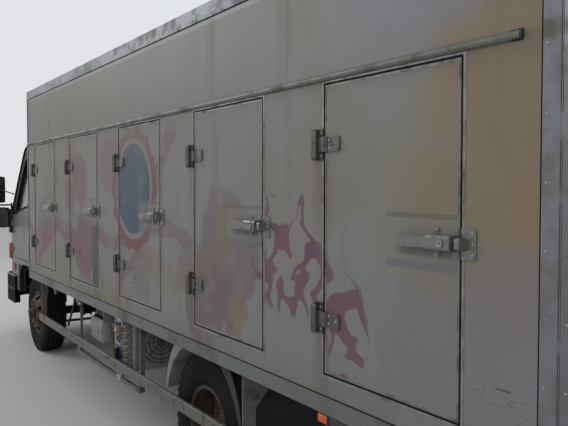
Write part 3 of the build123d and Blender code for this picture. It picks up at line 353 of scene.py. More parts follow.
def door_marks(finish, colour):
    """A cleaner patch round the latch, with painted shade along its top and bottom edges, a painted shadow
    under its lever, and rust under the hinges.
    """
    back = along_door(finish)
    wander = finish.noise(7, 4) - 0.5
    pocket = finish.step(back, door_length - 0.34, door_length - 0.325)
    pocket = pocket * finish.step(back, door_length, door_length - 0.004)
    rise = finish.z - latch_z + wander * 0.01
    inside = pocket * finish.step(abs(rise), 0.09, 0.075)
    colour = finish.mix(inside * 0.5, colour, tint(121, 120, 117))
    # Painted shade along the top and bottom edges of the patch round the latch, bluish at the bottom, as if
    # the patch were a shallow pocket.
    latch_pocket_top_shade = pocket * finish.step(abs(rise - 0.078), 0.012, 0.005)
    colour = finish.mix(latch_pocket_top_shade * 0.5, colour, tint(86, 80, 74))
    latch_pocket_bottom_shade = pocket * finish.step(abs(rise + 0.080), 0.020, 0.008)
    colour = finish.mix(latch_pocket_bottom_shade * 0.55, colour, tint(95, 95, 104))
    # A darker band just under the latch's lever: a painted shadow.
    latch_lever_shadow = finish.step(abs(back - door_length + 0.15), 0.15, 0.10)
    latch_lever_shadow = latch_lever_shadow * finish.step(abs(rise + 0.035), 0.022, 0.004)
    colour = finish.mix(latch_lever_shadow * 0.5, colour, tint(70, 68, 68))
    for height in hinge_heights:
        under = finish.step(abs(back + 0.02 + wander * 0.03), 0.075, 0.02)
        run = finish.step(finish.z, height - 0.05, height - 0.07)
        run = run * finish.step(finish.z, height - 0.5, height - 0.1)
        colour = finish.mix(under * run * 0.5, colour, tint(98, 84, 70))
    under_rail = finish.step(finish.z + wander * 0.05, rail_z - 0.1, rail_z - 0.02)
    under_rail = under_rail * finish.step(finish.z, rail_z + 0.02, rail_z)
    colour = finish.mix(under_rail * 0.45, colour, tint(96, 90, 78))
    seam = finish.step(abs(finish.x + 1.80), 0.0028, 0.0015) * finish.step(finish.z, 2.09, 2.10)
    colour = finish.mix(seam * 0.6, colour, tint(62, 60, 56))
    stamp_far = ((finish.x - 1.97) ** 2 + (finish.z - 1.99) ** 2) ** 0.5
    stamp = finish.step(abs(stamp_far - 0.047), 0.005, 0.003)
    colour = finish.mix(stamp * 0.6, colour, tint(70, 66, 60))
    scratch = finish.step(abs(finish.noise(3, 2, 0.5, stretch=(2, 1, 9)) - 0.5), 0.006, 0.002)
    rear = finish.step(finish.x, -3.45, -3.5) * finish.step(abs(finish.z - 1.0), 0.14, 0.08)
    colour = finish.mix(scratch * rear * 0.6, colour, tint(72, 58, 50))
    gouge = finish.step(abs(finish.z - 0.98 - (finish.x + 3.7) * 0.22 + wander * 0.02), 0.006, 0.003)
    gouge = gouge * finish.step(finish.x, -3.70, -3.71)
    # A thin dark line where the panel is dented: painted shade in the crease.
    dent_crease_shade = finish.step(abs(finish.z - 1.10 + wander * 0.02), 0.005, 0.002)
    dent_crease_shade = dent_crease_shade * finish.step(abs(finish.x + 3.60), 0.035, 0.02)
    return finish.mix((gouge + dent_crease_shade).math("MINIMUM", 1.0) * 0.7, colour, tint(60, 56, 54))


# %% Put the wall and door finishes together
chalky = 0.3


def side_finish(name):
    """Worn gelcoat outside with painted shade over its upper front, plain gelcoat inside, and zinc on the
    hinges and latches.
    """
    finish = Finish(name)
    colour, roughness, height = gelcoat(finish)
    finish.shader.inputs["Specular IOR Level"].default_value = chalky
    out = finish.step(abs(finish.y), wall_face - 0.004, wall_face - 0.001)
    shown = door_marks(finish, worn_film(finish, colour))
    # Painted shade: the upper wall toward the front is made darker and warmer.
    painted_shade_high_front = finish.step(finish.z, 1.5, 2.2) * finish.step(finish.x, -2.9, -2.0)
    shown = finish.mix(painted_shade_high_front * 0.38, shown, tint(86, 80, 64))
    colour = finish.mix(out, finish.mix(0.5, colour, tint(140, 140, 136)), shown)
    metal = finish.step(abs(finish.y), wall_face + 0.0012, wall_face + 0.002)
    grime = finish.step(finish.noise(24, 5, 0.7), 0.46, 0.66)
    hinge = finish.step(abs(along_door(finish)), 0.22, 0.2)
    plate = finish.mix(hinge * 0.8, tint(128, 128, 125), tint(92, 90, 86))
    zinc = finish.mix(grime, plate, finish.mix(hinge, tint(104, 101, 96), tint(48, 45, 42)))
    colour = finish.mix(metal, colour, zinc)
    return finish.done(
        base_color=colour,
        metallic=metal * (0.7 - grime * 0.5),
        roughness=roughness * (1 - metal) + metal * (0.3 + grime * 0.3),
        normal=finish.bump(height, 0.004, 0.6),
    )


def panel_finish(name):
    """The same worn gelcoat with no film, for the roof, the ends and the floor."""
    finish = Finish(name)
    colour, roughness, height = gelcoat(finish)
    return finish.done(base_color=colour, roughness=roughness, normal=finish.bump(height, 0.004, 0.6))


wall_material = side_finish("worn_gelcoat_wall")
panel_material = panel_finish("worn_gelcoat_panel")
print("panel finishes", wall_material.name, panel_material.name)

# %% [markdown]
# ## Metals, rubber and paint
# Bare aluminium goes dull and blotchy. Chassis paint lifts and shows rust, then catches dust
# from the road on whatever faces up. Steel wheels are brown with both. Rather than one long
# material for each, a few helpers give a base colour and a second colour that takes over by
# noise, by height or by the way a face points, and each finish is a short line or two.

# %% Mix the plain finishes


def two_tone(name, first, second, scale, spread=(0.45, 0.65), metal=0.0, rough=(0.45, 0.7), dust=0.0,
             height=0.0006, grain=90, shine=0.5):
    """One colour that a second takes over in patches, with dust on the faces that look up."""
    finish = Finish(name)
    finish.shader.inputs["Specular IOR Level"].default_value = shine
    patch = finish.step(finish.noise(scale, 6, 0.65), *spread)
    colour = finish.mix(patch, first, second)
    if dust:
        facing = finish.node("ShaderNodeNewGeometry", out="Normal")
        up = finish.node("ShaderNodeSeparateXYZ", {}, {0: facing}, "Z")
        lie = finish.step(up, 0.1, 0.9) * finish.step(finish.noise(14, 4), 0.3, 0.6) * dust
        colour = finish.mix(lie, colour, tint(112, 102, 88))
        patch = (patch + lie).math("MINIMUM", 1.0)
    sockets = {"base_color": colour, "roughness": rough[0] + patch * (rough[1] - rough[0])}
    if metal:
        sockets["metallic"] = metal * (1 - patch)
    sockets["normal"] = finish.bump(finish.noise(grain, 3) + patch * 0.5, height, 0.7)
    return finish.done(**sockets)


aluminium = two_tone("dull_aluminium", tint(122, 123, 126), tint(104, 102, 98), 7, metal=0.55,
                     rough=(0.4, 0.65))
bright_edge = two_tone("bright_edge", tint(134, 133, 128), tint(92, 88, 80), 12, (0.42, 0.7), metal=0.3,
                       rough=(0.35, 0.55))
door_trim = two_tone("door_trim", tint(120, 118, 112), tint(62, 58, 52), 14, (0.46, 0.7), metal=0.2,
                     rough=(0.35, 0.55))
sill_paint = two_tone("sill_paint", tint(99, 101, 98), tint(84, 80, 72), 5, (0.46, 0.72), dust=0.2)
chassis_paint = two_tone("chassis_paint", tint(24, 24, 25), tint(44, 34, 28), 9, (0.5, 0.66),
                         rough=(0.6, 0.9), dust=0.3)
rusty_steel = two_tone("rusty_steel", tint(40, 34, 31), tint(62, 44, 34), 13, (0.4, 0.62),
                       rough=(0.7, 0.95), dust=0.4)
rim_steel = two_tone("rim_steel", tint(58, 46, 42), tint(76, 54, 42), 16, (0.42, 0.62), rough=(0.6, 0.9),
                     dust=0.4)
bumper_plastic = two_tone("bumper_plastic", tint(15, 17, 23), tint(28, 28, 31), 6, (0.5, 0.8),
                          rough=(0.5, 0.75), grain=400, shine=0.02)
black_plastic = two_tone("black_plastic", tint(28, 29, 31), tint(52, 50, 49), 6, (0.5, 0.8),
                         rough=(0.45, 0.75), grain=400)
guard_paint = two_tone("guard_paint", tint(92, 90, 86), tint(66, 54, 46), 11, (0.5, 0.68), dust=0.4)
enamel = two_tone("grey_enamel", tint(128, 130, 130), tint(96, 92, 84), 8, (0.5, 0.7), dust=0.5)
black_rubber = two_tone("black_rubber", tint(22, 22, 24), tint(40, 38, 36), 20, (0.5, 0.8),
                        rough=(0.6, 0.85), shine=0.05)
seat_cloth = two_tone("seat_cloth", tint(58, 60, 66), tint(72, 74, 80), 120, rough=(0.9, 0.95), grain=700,
                      height=0.001)
zinc = two_tone("zinc_screw", tint(158, 158, 158), tint(96, 84, 70), 50, metal=0.9, rough=(0.3, 0.6))
pump_blue = two_tone("pump_blue", tint(26, 44, 86), tint(50, 46, 50), 20, (0.55, 0.75), rough=(0.5, 0.8),
                     dust=0.3)
dull_pipe = two_tone("dull_pipe", tint(128, 124, 110), tint(92, 86, 72), 30, metal=0.5,
                     rough=(0.45, 0.75))
coil_fins = two_tone("coil_fins", tint(118, 118, 116), tint(70, 66, 58), 9, (0.4, 0.6), metal=0.6,
                     rough=(0.5, 0.8), grain=600)
pale_paint = two_tone("pale_paint", tint(140, 142, 140), tint(108, 102, 92), 7, (0.5, 0.72), dust=0.4)
pale_hose = two_tone("pale_hose", tint(170, 168, 160), tint(120, 112, 98), 25, rough=(0.5, 0.7))
print("plain finishes mixed")

# %% Paint the cab


def cab_finish(name):
    """White paint with road dirt, painted light on the nose, chips near the belt, and a black pillar and
    wheel arch.
    """
    finish = Finish(name)
    finish.shader.inputs["Specular IOR Level"].default_value = chalky
    patch = finish.step(finish.noise(3, 6, 0.65), 0.5, 0.75)
    # Painted light: the nose is made lighter than the sides.
    nose = finish.step(finish.x, 3.30, 3.60)
    colour = finish.mix(patch, tint(114, 114, 111), tint(102, 99, 92))
    colour = finish.mix(nose * 0.6, colour, tint(134, 134, 131))
    low = finish.step(finish.z + finish.noise(4, 4) * 0.2, 1.15, 0.75)
    colour = finish.mix(low * 0.45, colour, tint(92, 86, 78))
    run = finish.step(finish.noise(9, 4, 0.6, stretch=(1, 0.4, 0.08)), 0.52, 0.78)
    colour = finish.mix(run * 0.25, colour, tint(100, 94, 86))
    near_belt = finish.step(abs(finish.z - 1.36), 0.09, 0.03)
    chip = finish.step(finish.noise(34, 4, 0.6), 0.60, 0.64) * near_belt
    colour = finish.mix(chip * 0.8, colour, tint(62, 46, 38))
    lean = finish.x + (finish.z - 1.372) * 0.31
    black = finish.step(lean, 3.146, 3.150) * finish.step(finish.z, 1.368, 1.373)
    black = black * finish.step(finish.z, 2.105, 2.10)
    black = black * finish.step(abs(finish.y), 0.80, 0.81)
    arch = finish.step(finish.z, 0.845, 0.838) * finish.step(finish.x, 3.06, 3.05)
    black = (black + arch).math("MINIMUM", 1.0)
    colour = finish.mix(black, colour, tint(20, 21, 25))
    inside = finish.step(abs(finish.y), 0.975, 0.955) * finish.step(finish.z, 1.4, 1.38)
    inside = inside * finish.step(finish.x, 3.6, 3.55)
    colour = finish.mix(inside * 0.8, colour, tint(74, 74, 74))
    groove = finish.step(abs(finish.z - 1.16), 0.006, 0.002)
    groove = groove + finish.step(abs(finish.z - 1.13), 0.006, 0.002)
    roughness = 0.38 + patch * 0.15 + low * 0.15 + black * 0.15
    return finish.done(base_color=colour, roughness=roughness, coat_weight=0.15 * (1 - black),
                       normal=finish.bump(finish.noise(70, 2) * 0.12 - groove, 0.0016, 0.7))


cab_paint = cab_finish("cab_paint")


def bare_finish(name, colour, metal, rough):
    """A smooth metal or mirror with a little dust on it."""
    finish = Finish(name)
    film = finish.step(finish.noise(9, 4), 0.45, 0.8)
    return finish.done(base_color=finish.mix(film * 0.4, colour, tint(104, 98, 88)),
                       metallic=metal * (1 - film * 0.4), roughness=rough + film * 0.2)


def edge_finish():
    """Dull aluminium on the box's edges, with a darker and warmer drip rail."""
    finish = Finish("edge_aluminium")
    patch = finish.step(finish.noise(7, 6, 0.65), 0.45, 0.65)
    colour = finish.mix(patch, tint(121, 123, 128), tint(106, 105, 104))
    corner = finish.step(finish.x, x_rear_corner + 0.012, x_rear_corner + 0.002)
    colour = finish.mix(corner * 0.4, colour, tint(92, 88, 84))
    rail = finish.step(abs(finish.z - rail_z), 0.03, 0.02)
    colour = finish.mix(rail, colour, finish.mix(patch, tint(106, 106, 101), tint(84, 80, 71)))
    grain = finish.bump(finish.noise(90, 3) + patch * 0.5, 0.0006, 0.7)
    return finish.done(base_color=colour, metallic=0.5 - rail * 0.3 - patch * 0.2,
                       roughness=0.42 + patch * 0.2, normal=grain)


def guard_finish():
    """Pale enamel that road spray has blackened behind the wheels."""
    finish = Finish("mudguard_enamel")
    patch = finish.step(finish.noise(8, 6, 0.65), 0.5, 0.7)
    spray = finish.step(finish.x + finish.noise(5, 4) * 0.2, -1.40, -1.62)
    low = finish.step(finish.z + finish.noise(5, 4) * 0.2, 0.7, 0.45)
    colour = finish.mix(patch, tint(122, 122, 116), tint(92, 88, 78))
    colour = finish.mix((spray * 0.92 + low * 0.3).math("MINIMUM", 1.0), colour, tint(34, 34, 36))
    return finish.done(base_color=colour, roughness=0.6 + spray * 0.2,
                       normal=finish.bump(finish.noise(60, 3), 0.0006, 0.6))


mudguard_enamel = guard_finish()
edge_aluminium = edge_finish()
mirror_metal = bare_finish("mirror_metal", tint(198, 200, 202), 0.95, 0.12)
mirror_face = bare_finish("mirror_face", tint(96, 100, 104), 0.95, 0.04)

# %% Mix glass, lenses and tyre rubber


def lens_finish(name, colour, alpha):
    """Tinted clear plastic or glass, with patches of dust."""
    finish = Finish(name)
    film = finish.step(finish.noise(5, 4), 0.35, 0.7)
    shade = finish.mix(film * 0.15, colour, tint(120, 114, 104))
    finish.material.surface_render_method = "DITHERED"
    finish.shader.inputs["Specular IOR Level"].default_value = 0.3
    return finish.done(base_color=shade, roughness=0.12 + film * 0.2, alpha=alpha + film * 0.1)


def tyre_finish():
    """Black rubber that has gone grey, with road dust in patches and more of it toward the bottom."""
    finish = Finish("tyre_rubber")
    dust = finish.step(finish.noise(7, 5, 0.65), 0.35, 0.7)
    low = finish.step(finish.z, 0.75, 0.02)
    share = (dust * 0.45 + low * 0.3).math("MINIMUM", 0.8)
    finish.shader.inputs["Specular IOR Level"].default_value = 0.08
    colour = finish.mix(share, tint(19, 21, 26), tint(48, 45, 42))
    return finish.done(base_color=colour, roughness=0.75 + share * 0.15,
                       normal=finish.bump(finish.noise(150, 3), 0.0008, 0.6))


def headlamp_finish():
    """Fluted clear plastic in front and orange where the lamp turns the cab's corner."""
    finish = Finish("headlamp_glass")
    corner = finish.step(abs(finish.y), 0.826, 0.832)
    film = finish.step(finish.noise(5, 4), 0.4, 0.75) * 0.4
    colour = finish.mix(corner, tint(146, 150, 152), tint(206, 92, 20))
    colour = finish.mix(film, colour, tint(108, 102, 92))
    flutes = (finish.y * 420).math("SINE") * (1 - corner)
    return finish.done(base_color=colour, metallic=0.6 * (1 - corner), roughness=0.16 + film * 0.5,
                       coat_weight=0.4, normal=finish.bump(flutes, 0.0008, 0.6))


headlamp_glass = headlamp_finish()
cab_glass = lens_finish("cab_glass", tint(70, 80, 82), 0.5)
orange_lens = lens_finish("orange_lens", tint(208, 92, 18), 0.95)
red_lens = lens_finish("red_lens", tint(132, 34, 24), 0.95)
yellow_lens = lens_finish("yellow_lens", tint(176, 150, 70), 0.95)
clear_lens = lens_finish("clear_lens", tint(180, 184, 184), 0.45)
tyre_rubber = tyre_finish()
print("lenses and rubber mixed")

# %% Dress the CAD nodes
node_finishes = {
    "box_left_wall": wall_material, "box_right_wall": wall_material,
    "box_floor": panel_material, "box_roof": panel_material,
    "box_front_wall": panel_material, "box_rear_wall": panel_material,
    "box_edge_profiles": edge_aluminium, "box_subframe": sill_paint,
    "cross_bearers": chassis_paint, "cross_members": chassis_paint,
    "chassis_frame": chassis_paint, "leaf_springs": rusty_steel,
    "front_axle_beam": rusty_steel, "rear_axle_housing": rusty_steel,
    "engine_and_gearbox": rusty_steel, "propeller_shaft": rusty_steel,
    "exhaust_silencer": rusty_steel, "fuel_tank": chassis_paint,
    "electrical_cabinet": enamel, "condensing_unit": enamel,
    "side_guards": guard_paint, "rear_mudguards": mudguard_enamel,
    "rear_underrun_bar": chassis_paint, "rear_lamps": red_lens,
    "cab_shell": cab_paint, "cab_glass": cab_glass, "front_bumper": bumper_plastic,
    "headlamps": headlamp_glass, "mirrors": bumper_plastic, "dashboard": black_plastic,
    "steering_wheel": black_plastic, "seats": seat_cloth, "tie_rod": rusty_steel,
}
for side in ("left", "right"):
    node_finishes.update({f"{side}_side_door_{number}": wall_material for number in range(1, 6)})
    node_finishes.update({
        f"{side}_cab_door": cab_paint, f"{side}_door_glass": cab_glass,
        f"{side}_knuckle": rusty_steel, f"{side}_front_rim": rim_steel,
        f"{side}_rear_rims": rim_steel, f"{side}_front_tyre": tyre_rubber,
        f"{side}_rear_tyres": tyre_rubber,
    })
for name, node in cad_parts.items():
    for slot in node.material_slots:
        slot.material = node_finishes[name]
print("dressed", len(node_finishes), "nodes")

# %% [markdown]
# ## Working by hand, in code
# Every new piece starts as a primitive of the right size, is shaped in edit mode, and is
# then settled: its place goes into its mesh, its faces turn outward, and it gets a finish and
# a body to ride on. What repeats, such as a screw, is modelled once and copied.

# %% Small helpers for pieces


def clear_choice():
    """Leaves edit mode and lets go of everything."""
    if bpy.context.object and bpy.context.object.mode != "OBJECT":
        bpy.ops.object.mode_set(mode="OBJECT")
    bpy.ops.object.select_all(action="DESELECT")


def choose(piece):
    """Chooses one piece and nothing else."""
    clear_choice()
    piece.select_set(True)
    bpy.context.view_layer.objects.active = piece


def edit_all(piece, *steps):
    """Runs edit-mode steps, each an operator and its settings, with the whole mesh selected."""
    choose(piece)
    bpy.ops.object.mode_set(mode="EDIT")
    for operator, settings in steps:
        bpy.ops.mesh.select_all(action="SELECT")
        operator(**settings)
    bpy.ops.object.mode_set(mode="OBJECT")
    return piece


outward = (bpy.ops.mesh.normals_make_consistent, {"inside": False})


def modify(piece, kind, **settings):
    """Adds a modifier and applies it."""
    choose(piece)
    modifier = piece.modifiers.new(kind.lower(), kind)
    for name, value in settings.items():
        setattr(modifier, name, value)
    bpy.ops.object.modifier_apply(modifier=modifier.name)
    return piece


def soften(piece, width, segments=2, angle=40):
    """Rounds every edge that is sharper than the angle."""
    return modify(piece, "BEVEL", width=width, segments=segments, limit_method="ANGLE",
                  angle_limit=radians(angle))


def block(low, high, round_by=0.002, segments=2):
    """A block between two corners, with its edges rounded."""
    clear_choice()
    low, high = Vector(low), Vector(high)
    bpy.ops.mesh.primitive_cube_add(size=1, location=(low + high) / 2)
    piece = bpy.context.object
    piece.scale = high - low
    bpy.ops.object.transform_apply(location=True, rotation=True, scale=True)
    return soften(piece, round_by, segments)


def slanted(rows, low_y, high_y, round_by):
    """A block with four corners given in X and Z, between two y values."""
    piece = block((-0.5, low_y, -0.5), (0.5, high_y, 0.5), 0.0005, 1)
    low_rear, low_front, painted_shade_high_front, high_rear = [Vector((x, 0, z)) for x, z in rows]
    for vertex in piece.data.vertices:
        across, up = vertex.co.x + 0.5, vertex.co.z + 0.5
        foot, head = low_rear.lerp(low_front, across), high_rear.lerp(painted_shade_high_front, across)
        place = foot.lerp(head, up)
        vertex.co = (place.x, vertex.co.y, place.z)
    return soften(piece, round_by, 5, 60)


# A profile that reaches the axis stops this far from it, which leaves a pinhole too small to see
on_axis = 0.0001


def turned(profile, centre, axis="Y", steps=32, close=False):
    """A solid of revolution: rows of radius and distance along the axis, drawn out and spun."""
    clear_choice()
    bpy.ops.mesh.primitive_plane_add(size=0.001, location=(0, 0, 0))
    piece = bpy.context.object
    bpy.ops.object.mode_set(mode="EDIT")
    bpy.ops.mesh.select_mode(type="VERT")
    bpy.ops.mesh.select_all(action="SELECT")
    bpy.ops.mesh.merge(type="CENTER")
    rows = [Vector((radius or on_axis, 0, along)) for radius, along in profile]
    bpy.ops.transform.translate(value=rows[0])
    for first, second in zip(rows, rows[1:] + (rows[:1] if close else [])):
        bpy.ops.mesh.extrude_region_move(TRANSFORM_OT_translate={"value": second - first})
    round_z = {"steps": steps, "angle": 2 * pi, "center": (0, 0, 0), "axis": (0, 0, 1)}
    weld = {"threshold": 0.00002}
    edit_all(piece, (bpy.ops.mesh.spin, round_z), (bpy.ops.mesh.remove_doubles, weld), outward)
    quarter = {"X": Matrix.Rotation(pi / 2, 4, "Y"), "Y": Matrix.Rotation(-pi / 2, 4, "X"),
               "Z": Matrix.Identity(4)}
    piece.data.transform(Matrix.Translation(centre) @ quarter[axis])
    return piece


def tube(points, radius, sides=8):
    """A round pipe along points, smoothed where it turns, as a mesh."""
    clear_choice()
    curve = bpy.data.curves.new("pipe", "CURVE")
    curve.dimensions = "3D"
    curve.bevel_depth = radius
    curve.bevel_resolution = max(sides // 4 - 1, 0)
    curve.use_fill_caps = True
    line = curve.splines.new("NURBS")
    line.points.add(len(points) - 1)
    for place, point in zip(line.points, points):
        place.co = (*point, 1)
    line.order_u = 3
    line.use_endpoint_u = True
    curve.resolution_u = 5
    pipe = bpy.data.objects.new("pipe", curve)
    bpy.context.scene.collection.objects.link(pipe)
    choose(pipe)
    bpy.ops.object.convert(target="MESH")
    return bpy.context.object


def join(pieces):
    """Joins pieces into the first one."""
    clear_choice()
    for piece in pieces:
        piece.select_set(True)
    bpy.context.view_layer.objects.active = pieces[0]
    if len(pieces) > 1:
        bpy.ops.object.join()
    return pieces[0]


def repeat(model, places):
    """A copy of the model at each place, joined; the model itself goes."""
    copies = []
    for place in places:
        matrix = place if isinstance(place, Matrix) else Matrix.Translation(place)
        copy = model.copy()
        copy.data = model.data.copy()
        copy.data.transform(matrix)
        bpy.context.scene.collection.objects.link(copy)
        copies.append(copy)
    bpy.data.objects.remove(model)
    return join(copies)


def mirrored(piece):
    """The same piece on the truck's right side."""
    twin = piece.copy()
    twin.data = piece.data.copy()
    twin.data.transform(Matrix.Scale(-1, 4, (0, 1, 0)))
    twin.data.flip_normals()
    bpy.context.scene.collection.objects.link(twin)
    return twin


usual_slots = {
    "aluminium": (door_trim, bright_edge, zinc, dull_pipe, coil_fins, aluminium, edge_aluminium),
    "black_plastic": (black_rubber, black_plastic),
    "cab_paint": (pale_paint, cab_paint),
    "cast_steel": (rusty_steel,),
    "chassis_paint": (chassis_paint,),
    "glass": (mirror_face,),
    "grey_paint": (enamel, pump_blue, pale_hose),
    "lamp": (orange_lens, red_lens, yellow_lens, clear_lens),
    "rim_steel": (rim_steel,),
}
slot_of = {finish.name: slot for slot, finishes in usual_slots.items() for finish in finishes}


def settle(piece, name, finish, body="root", slot=None, angle=35):
    """Names a piece or a list of pieces, gives it its finish and lets it ride on its body."""
    piece = join(piece) if isinstance(piece, list) else piece
    choose(piece)
    bpy.ops.object.transform_apply(location=True, rotation=True, scale=True)
    bpy.ops.object.shade_smooth_by_angle(angle=radians(angle))
    piece.name = piece.data.name = name
    piece.data.materials.clear()
    piece.data.materials.append(finish)
    slot = slot or slot_of[finish.name]
    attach(piece, body)
    return piece


def settle_both(piece, name, finish, body="root", slot=None, angle=35):
    """Settles a left piece and its mirror image; a star in the body's name stands for the side."""
    piece = join(piece) if isinstance(piece, list) else piece
    twin = mirrored(piece)
    settle(piece, "left_" + name, finish, body.replace("*", "left"), slot, angle)
    settle(twin, "right_" + name, finish, body.replace("*", "right"), slot, angle)


print("piece helpers ready")

# %% [markdown]
# ## Door edges, frames and seals
# Each door's edge is wrapped in bright aluminium angle, the opening has a frame of the same
# angle, and a black seal shows in the gap between them. A flat ring is the quickest start: a
# plane the size of the door, inset by the angle's width, with its middle deleted and the rim
# drawn out. The same ring serves all three with other numbers.

# %% Make the rings


def ring(length, height, width, thick, front_x, low_z, face):
    """A flat rectangular ring in X and Z: outer size, its width and how far out it stands."""
    clear_choice()
    bpy.ops.mesh.primitive_plane_add(size=1, rotation=(pi / 2, 0, 0),
                                     location=(front_x - length / 2, face, low_z + height / 2))
    piece = bpy.context.object
    piece.scale = (length, height, 1)
    bpy.ops.object.transform_apply(location=True, rotation=True, scale=True)
    bpy.ops.object.mode_set(mode="EDIT")
    bpy.ops.mesh.inset(thickness=width, depth=0)
    bpy.ops.mesh.delete(type="FACE")
    draw_out = {"TRANSFORM_OT_translate": {"value": (0, thick, 0)}}
    edit_all(piece, (bpy.ops.mesh.extrude_region_move, draw_out), outward)
    return soften(piece, 0.0005, 1)


door_fronts = [first_door_front - step * door_pitch for step in range(5)]
door_height = door_high - door_low
frame_face = 1.0955
frames, seals = [], []
for number, front in enumerate(door_fronts, 1):
    trim = ring(door_length - 0.002, door_height - 0.002, 0.009, 0.0017, front - 0.001, door_low + 0.001,
                frame_face)
    settle_both(trim, f"door_edge_{number}", door_trim, f"*_side_door_{number}")
    frames.append(ring(door_length + 0.036, door_height + 0.036, 0.0115, 0.0022, front + 0.018,
                       door_low - 0.018, frame_face))
    seals.append(ring(door_length + 0.0120, door_height + 0.0120, 0.0058, 0.0425, front + 0.0060,
                      door_low - 0.0060, 1.0565))
settle_both(frames, "door_frames", bright_edge)
settle_both(seals, "door_seals", black_rubber)
print("edged", 2 * len(door_fronts), "doors")

# %% [markdown]
# ## Screws and rivets
# Screws hold the hinge leaves, straps, latch ears and keepers, and rivets hold the edge
# profiles. Each is a short turned shape. A screw's head has a small driving hole in its
# profile; there are hundreds, so it keeps to a few dozen faces.

# %% Model one screw and one rivet


def screw(radius, height):
    """A pan-head screw that points along +Y from the origin."""
    return turned([(radius, 0), (radius, height * 0.5), (radius * 0.75, height), (radius * 0.34, height),
                   (radius * 0.26, height * 0.3), (0.00001, height * 0.3)], (0, 0, 0), "Y", 10)


def rivet(radius, height):
    """A domed rivet that points along +Y from the origin."""
    return turned([(radius, 0), (radius * 0.8, height * 0.7), (radius * 0.35, height), (0.00001, height)],
                  (0, 0, 0), "Y", 8)


leaf_spots = [(0.020, 0.005, spread) for spread in (-0.042, 0.042)]
strap_spots = [(-0.036, 0.008, -0.015), (-0.036, 0.008, 0.015), (-0.080, 0.008, 0)]
latch_spots = [(-door_length + x, 0.004, rise) for x in (0.016, 0.095) for rise in (-0.037, 0.037)]
keeper_spots = [(-door_length - 0.007 - 0.042, 0.005, rise) for rise in (-0.032, 0, 0.032)]
screw_size = (0.0055, 0.0026)
wall_screws = []
for number, front in enumerate(door_fronts, 1):
    wall_screws += [(front + x, wall_face + y, height + z) for x, y, z in leaf_spots
                    for height in hinge_heights]
    wall_screws += [(front + x, wall_face + y, latch_z + z) for x, y, z in keeper_spots]
    door_screws = [(front + x, wall_face + y, height + z) for x, y, z in strap_spots
                   for height in hinge_heights]
    door_screws += [(front + x, wall_face + y, latch_z + z) for x, y, z in latch_spots]
    settle_both(repeat(screw(*screw_size), door_screws), f"door_screws_{number}", zinc,
                f"*_side_door_{number}")
settle_both(repeat(screw(*screw_size), wall_screws), "wall_screws", zinc)
print("screws", 2 * len(wall_screws) + 10 * len(door_screws))

# %% Rivet the edge profiles
edge_low, edge_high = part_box("box_edge_profiles")
x_rear, x_box_front = edge_low.x, edge_high.x
box_top = edge_high.z
rivet_size = (0.0045, 0.002)
rivet_face = 1.1
rivet_gaps = 38
edge_spots = []
for step in range(rivet_gaps + 1):
    x = x_rear + 0.07 + (x_box_front - x_rear - 0.14) * step / rivet_gaps
    edge_spots.append((x, rivet_face, box_top - 0.055))
for step in range(9):
    edge_spots.append((x_rear + 0.045, rivet_face, 0.96 + 0.18 * step))
settle_both(repeat(rivet(*rivet_size), edge_spots), "edge_rivets", zinc)
print("rivets", 2 * len(edge_spots))

# %% [markdown]
# ## Rail ends, corner seals and lock faces
# The drip rail ends in a black cap, a black seal runs down each corner post, and each latch
# has a round lock with a key slot. They are small, but they are what the eye catches on a
# plain white wall.

# %% Cap the rail and seal the corners
rail_rear = x_rear + 0.13
rail_cap = turned([(0, -0.004), (0.013, -0.004), (0.017, 0), (0.017, 0.035), (0, 0.035)],
                  (rail_rear - 0.003, wall_face - 0.004, rail_z), "X", 20)
halved = {"plane_co": (0, wall_face - 0.004, 0), "plane_no": (0, 1, 0), "clear_inner": True,
          "use_fill": True}
edit_all(rail_cap, (bpy.ops.mesh.bisect, halved))
settle_both(rail_cap, "rail_caps", black_plastic)
seal_rows = [(x_rear + 0.060, x_rear + 0.066), (x_box_front - 0.031, x_box_front - 0.026)]
corner_seals = [block((low, 1.094, 0.872), (high, 1.0985, 2.503), 0.001) for low, high in seal_rows]
corner_seals.append(block((x_rear + 0.03, 1.094, 2.4995), (x_box_front - 0.03, 1.0985, 2.5045), 0.001))
corner_seals.append(block((x_rear + 0.02, 1.0945, 0.8680), (x_box_front - 0.02, 1.0985, 0.8725), 0.001))
bead_x, bead_y = x_rear + 0.0035, 1.0965
for low, high in ((0.84, 1.24), (1.27, 1.63), (1.66, 1.79), (1.86, 2.20), (2.23, 2.46)):
    corner_seals.append(tube([(bead_x, bead_y, low), (bead_x, bead_y + 0.0006, (low + high) / 2),
                              (bead_x, bead_y, high)], 0.0042, 6))
settle_both(corner_seals, "corner_seals", black_rubber)
for number, front in enumerate(door_fronts, 1):
    centre = (front - door_length + 0.045, wall_face + 0.043, latch_z)
    face = turned([(0, 0.0005), (0.003, 0.0005), (0.003, 0.001), (0.0095, 0.001), (0.0105, 0.0022),
                   (0.0125, 0.0022), (0.0135, 0)], centre, "Y", 20)
    slot = block((centre[0] - 0.001, centre[1] + 0.0005, latch_z - 0.005),
                 (centre[0] + 0.001, centre[1] + 0.0016, latch_z + 0.005), 0.0003, 1)
    settle_both(face, f"lock_face_{number}", zinc, f"*_side_door_{number}")
    settle_both(slot, f"lock_slot_{number}", black_plastic, f"*_side_door_{number}")
print("rail caps, seals and locks in place")

# %% [markdown]
# ## Tyres and wheels
# The CAD tyre is a plain ring, right in size. The visual tyre has a round sidewall with raised
# ribs, grooves round the tread and a row of shoulder lugs. One profile spun round the axle
# makes the carcass, and one lug copied round it makes each shoulder. The wheel gets its nuts,
# a hub cap, a valve and the gutter ring that holds the tyre on.

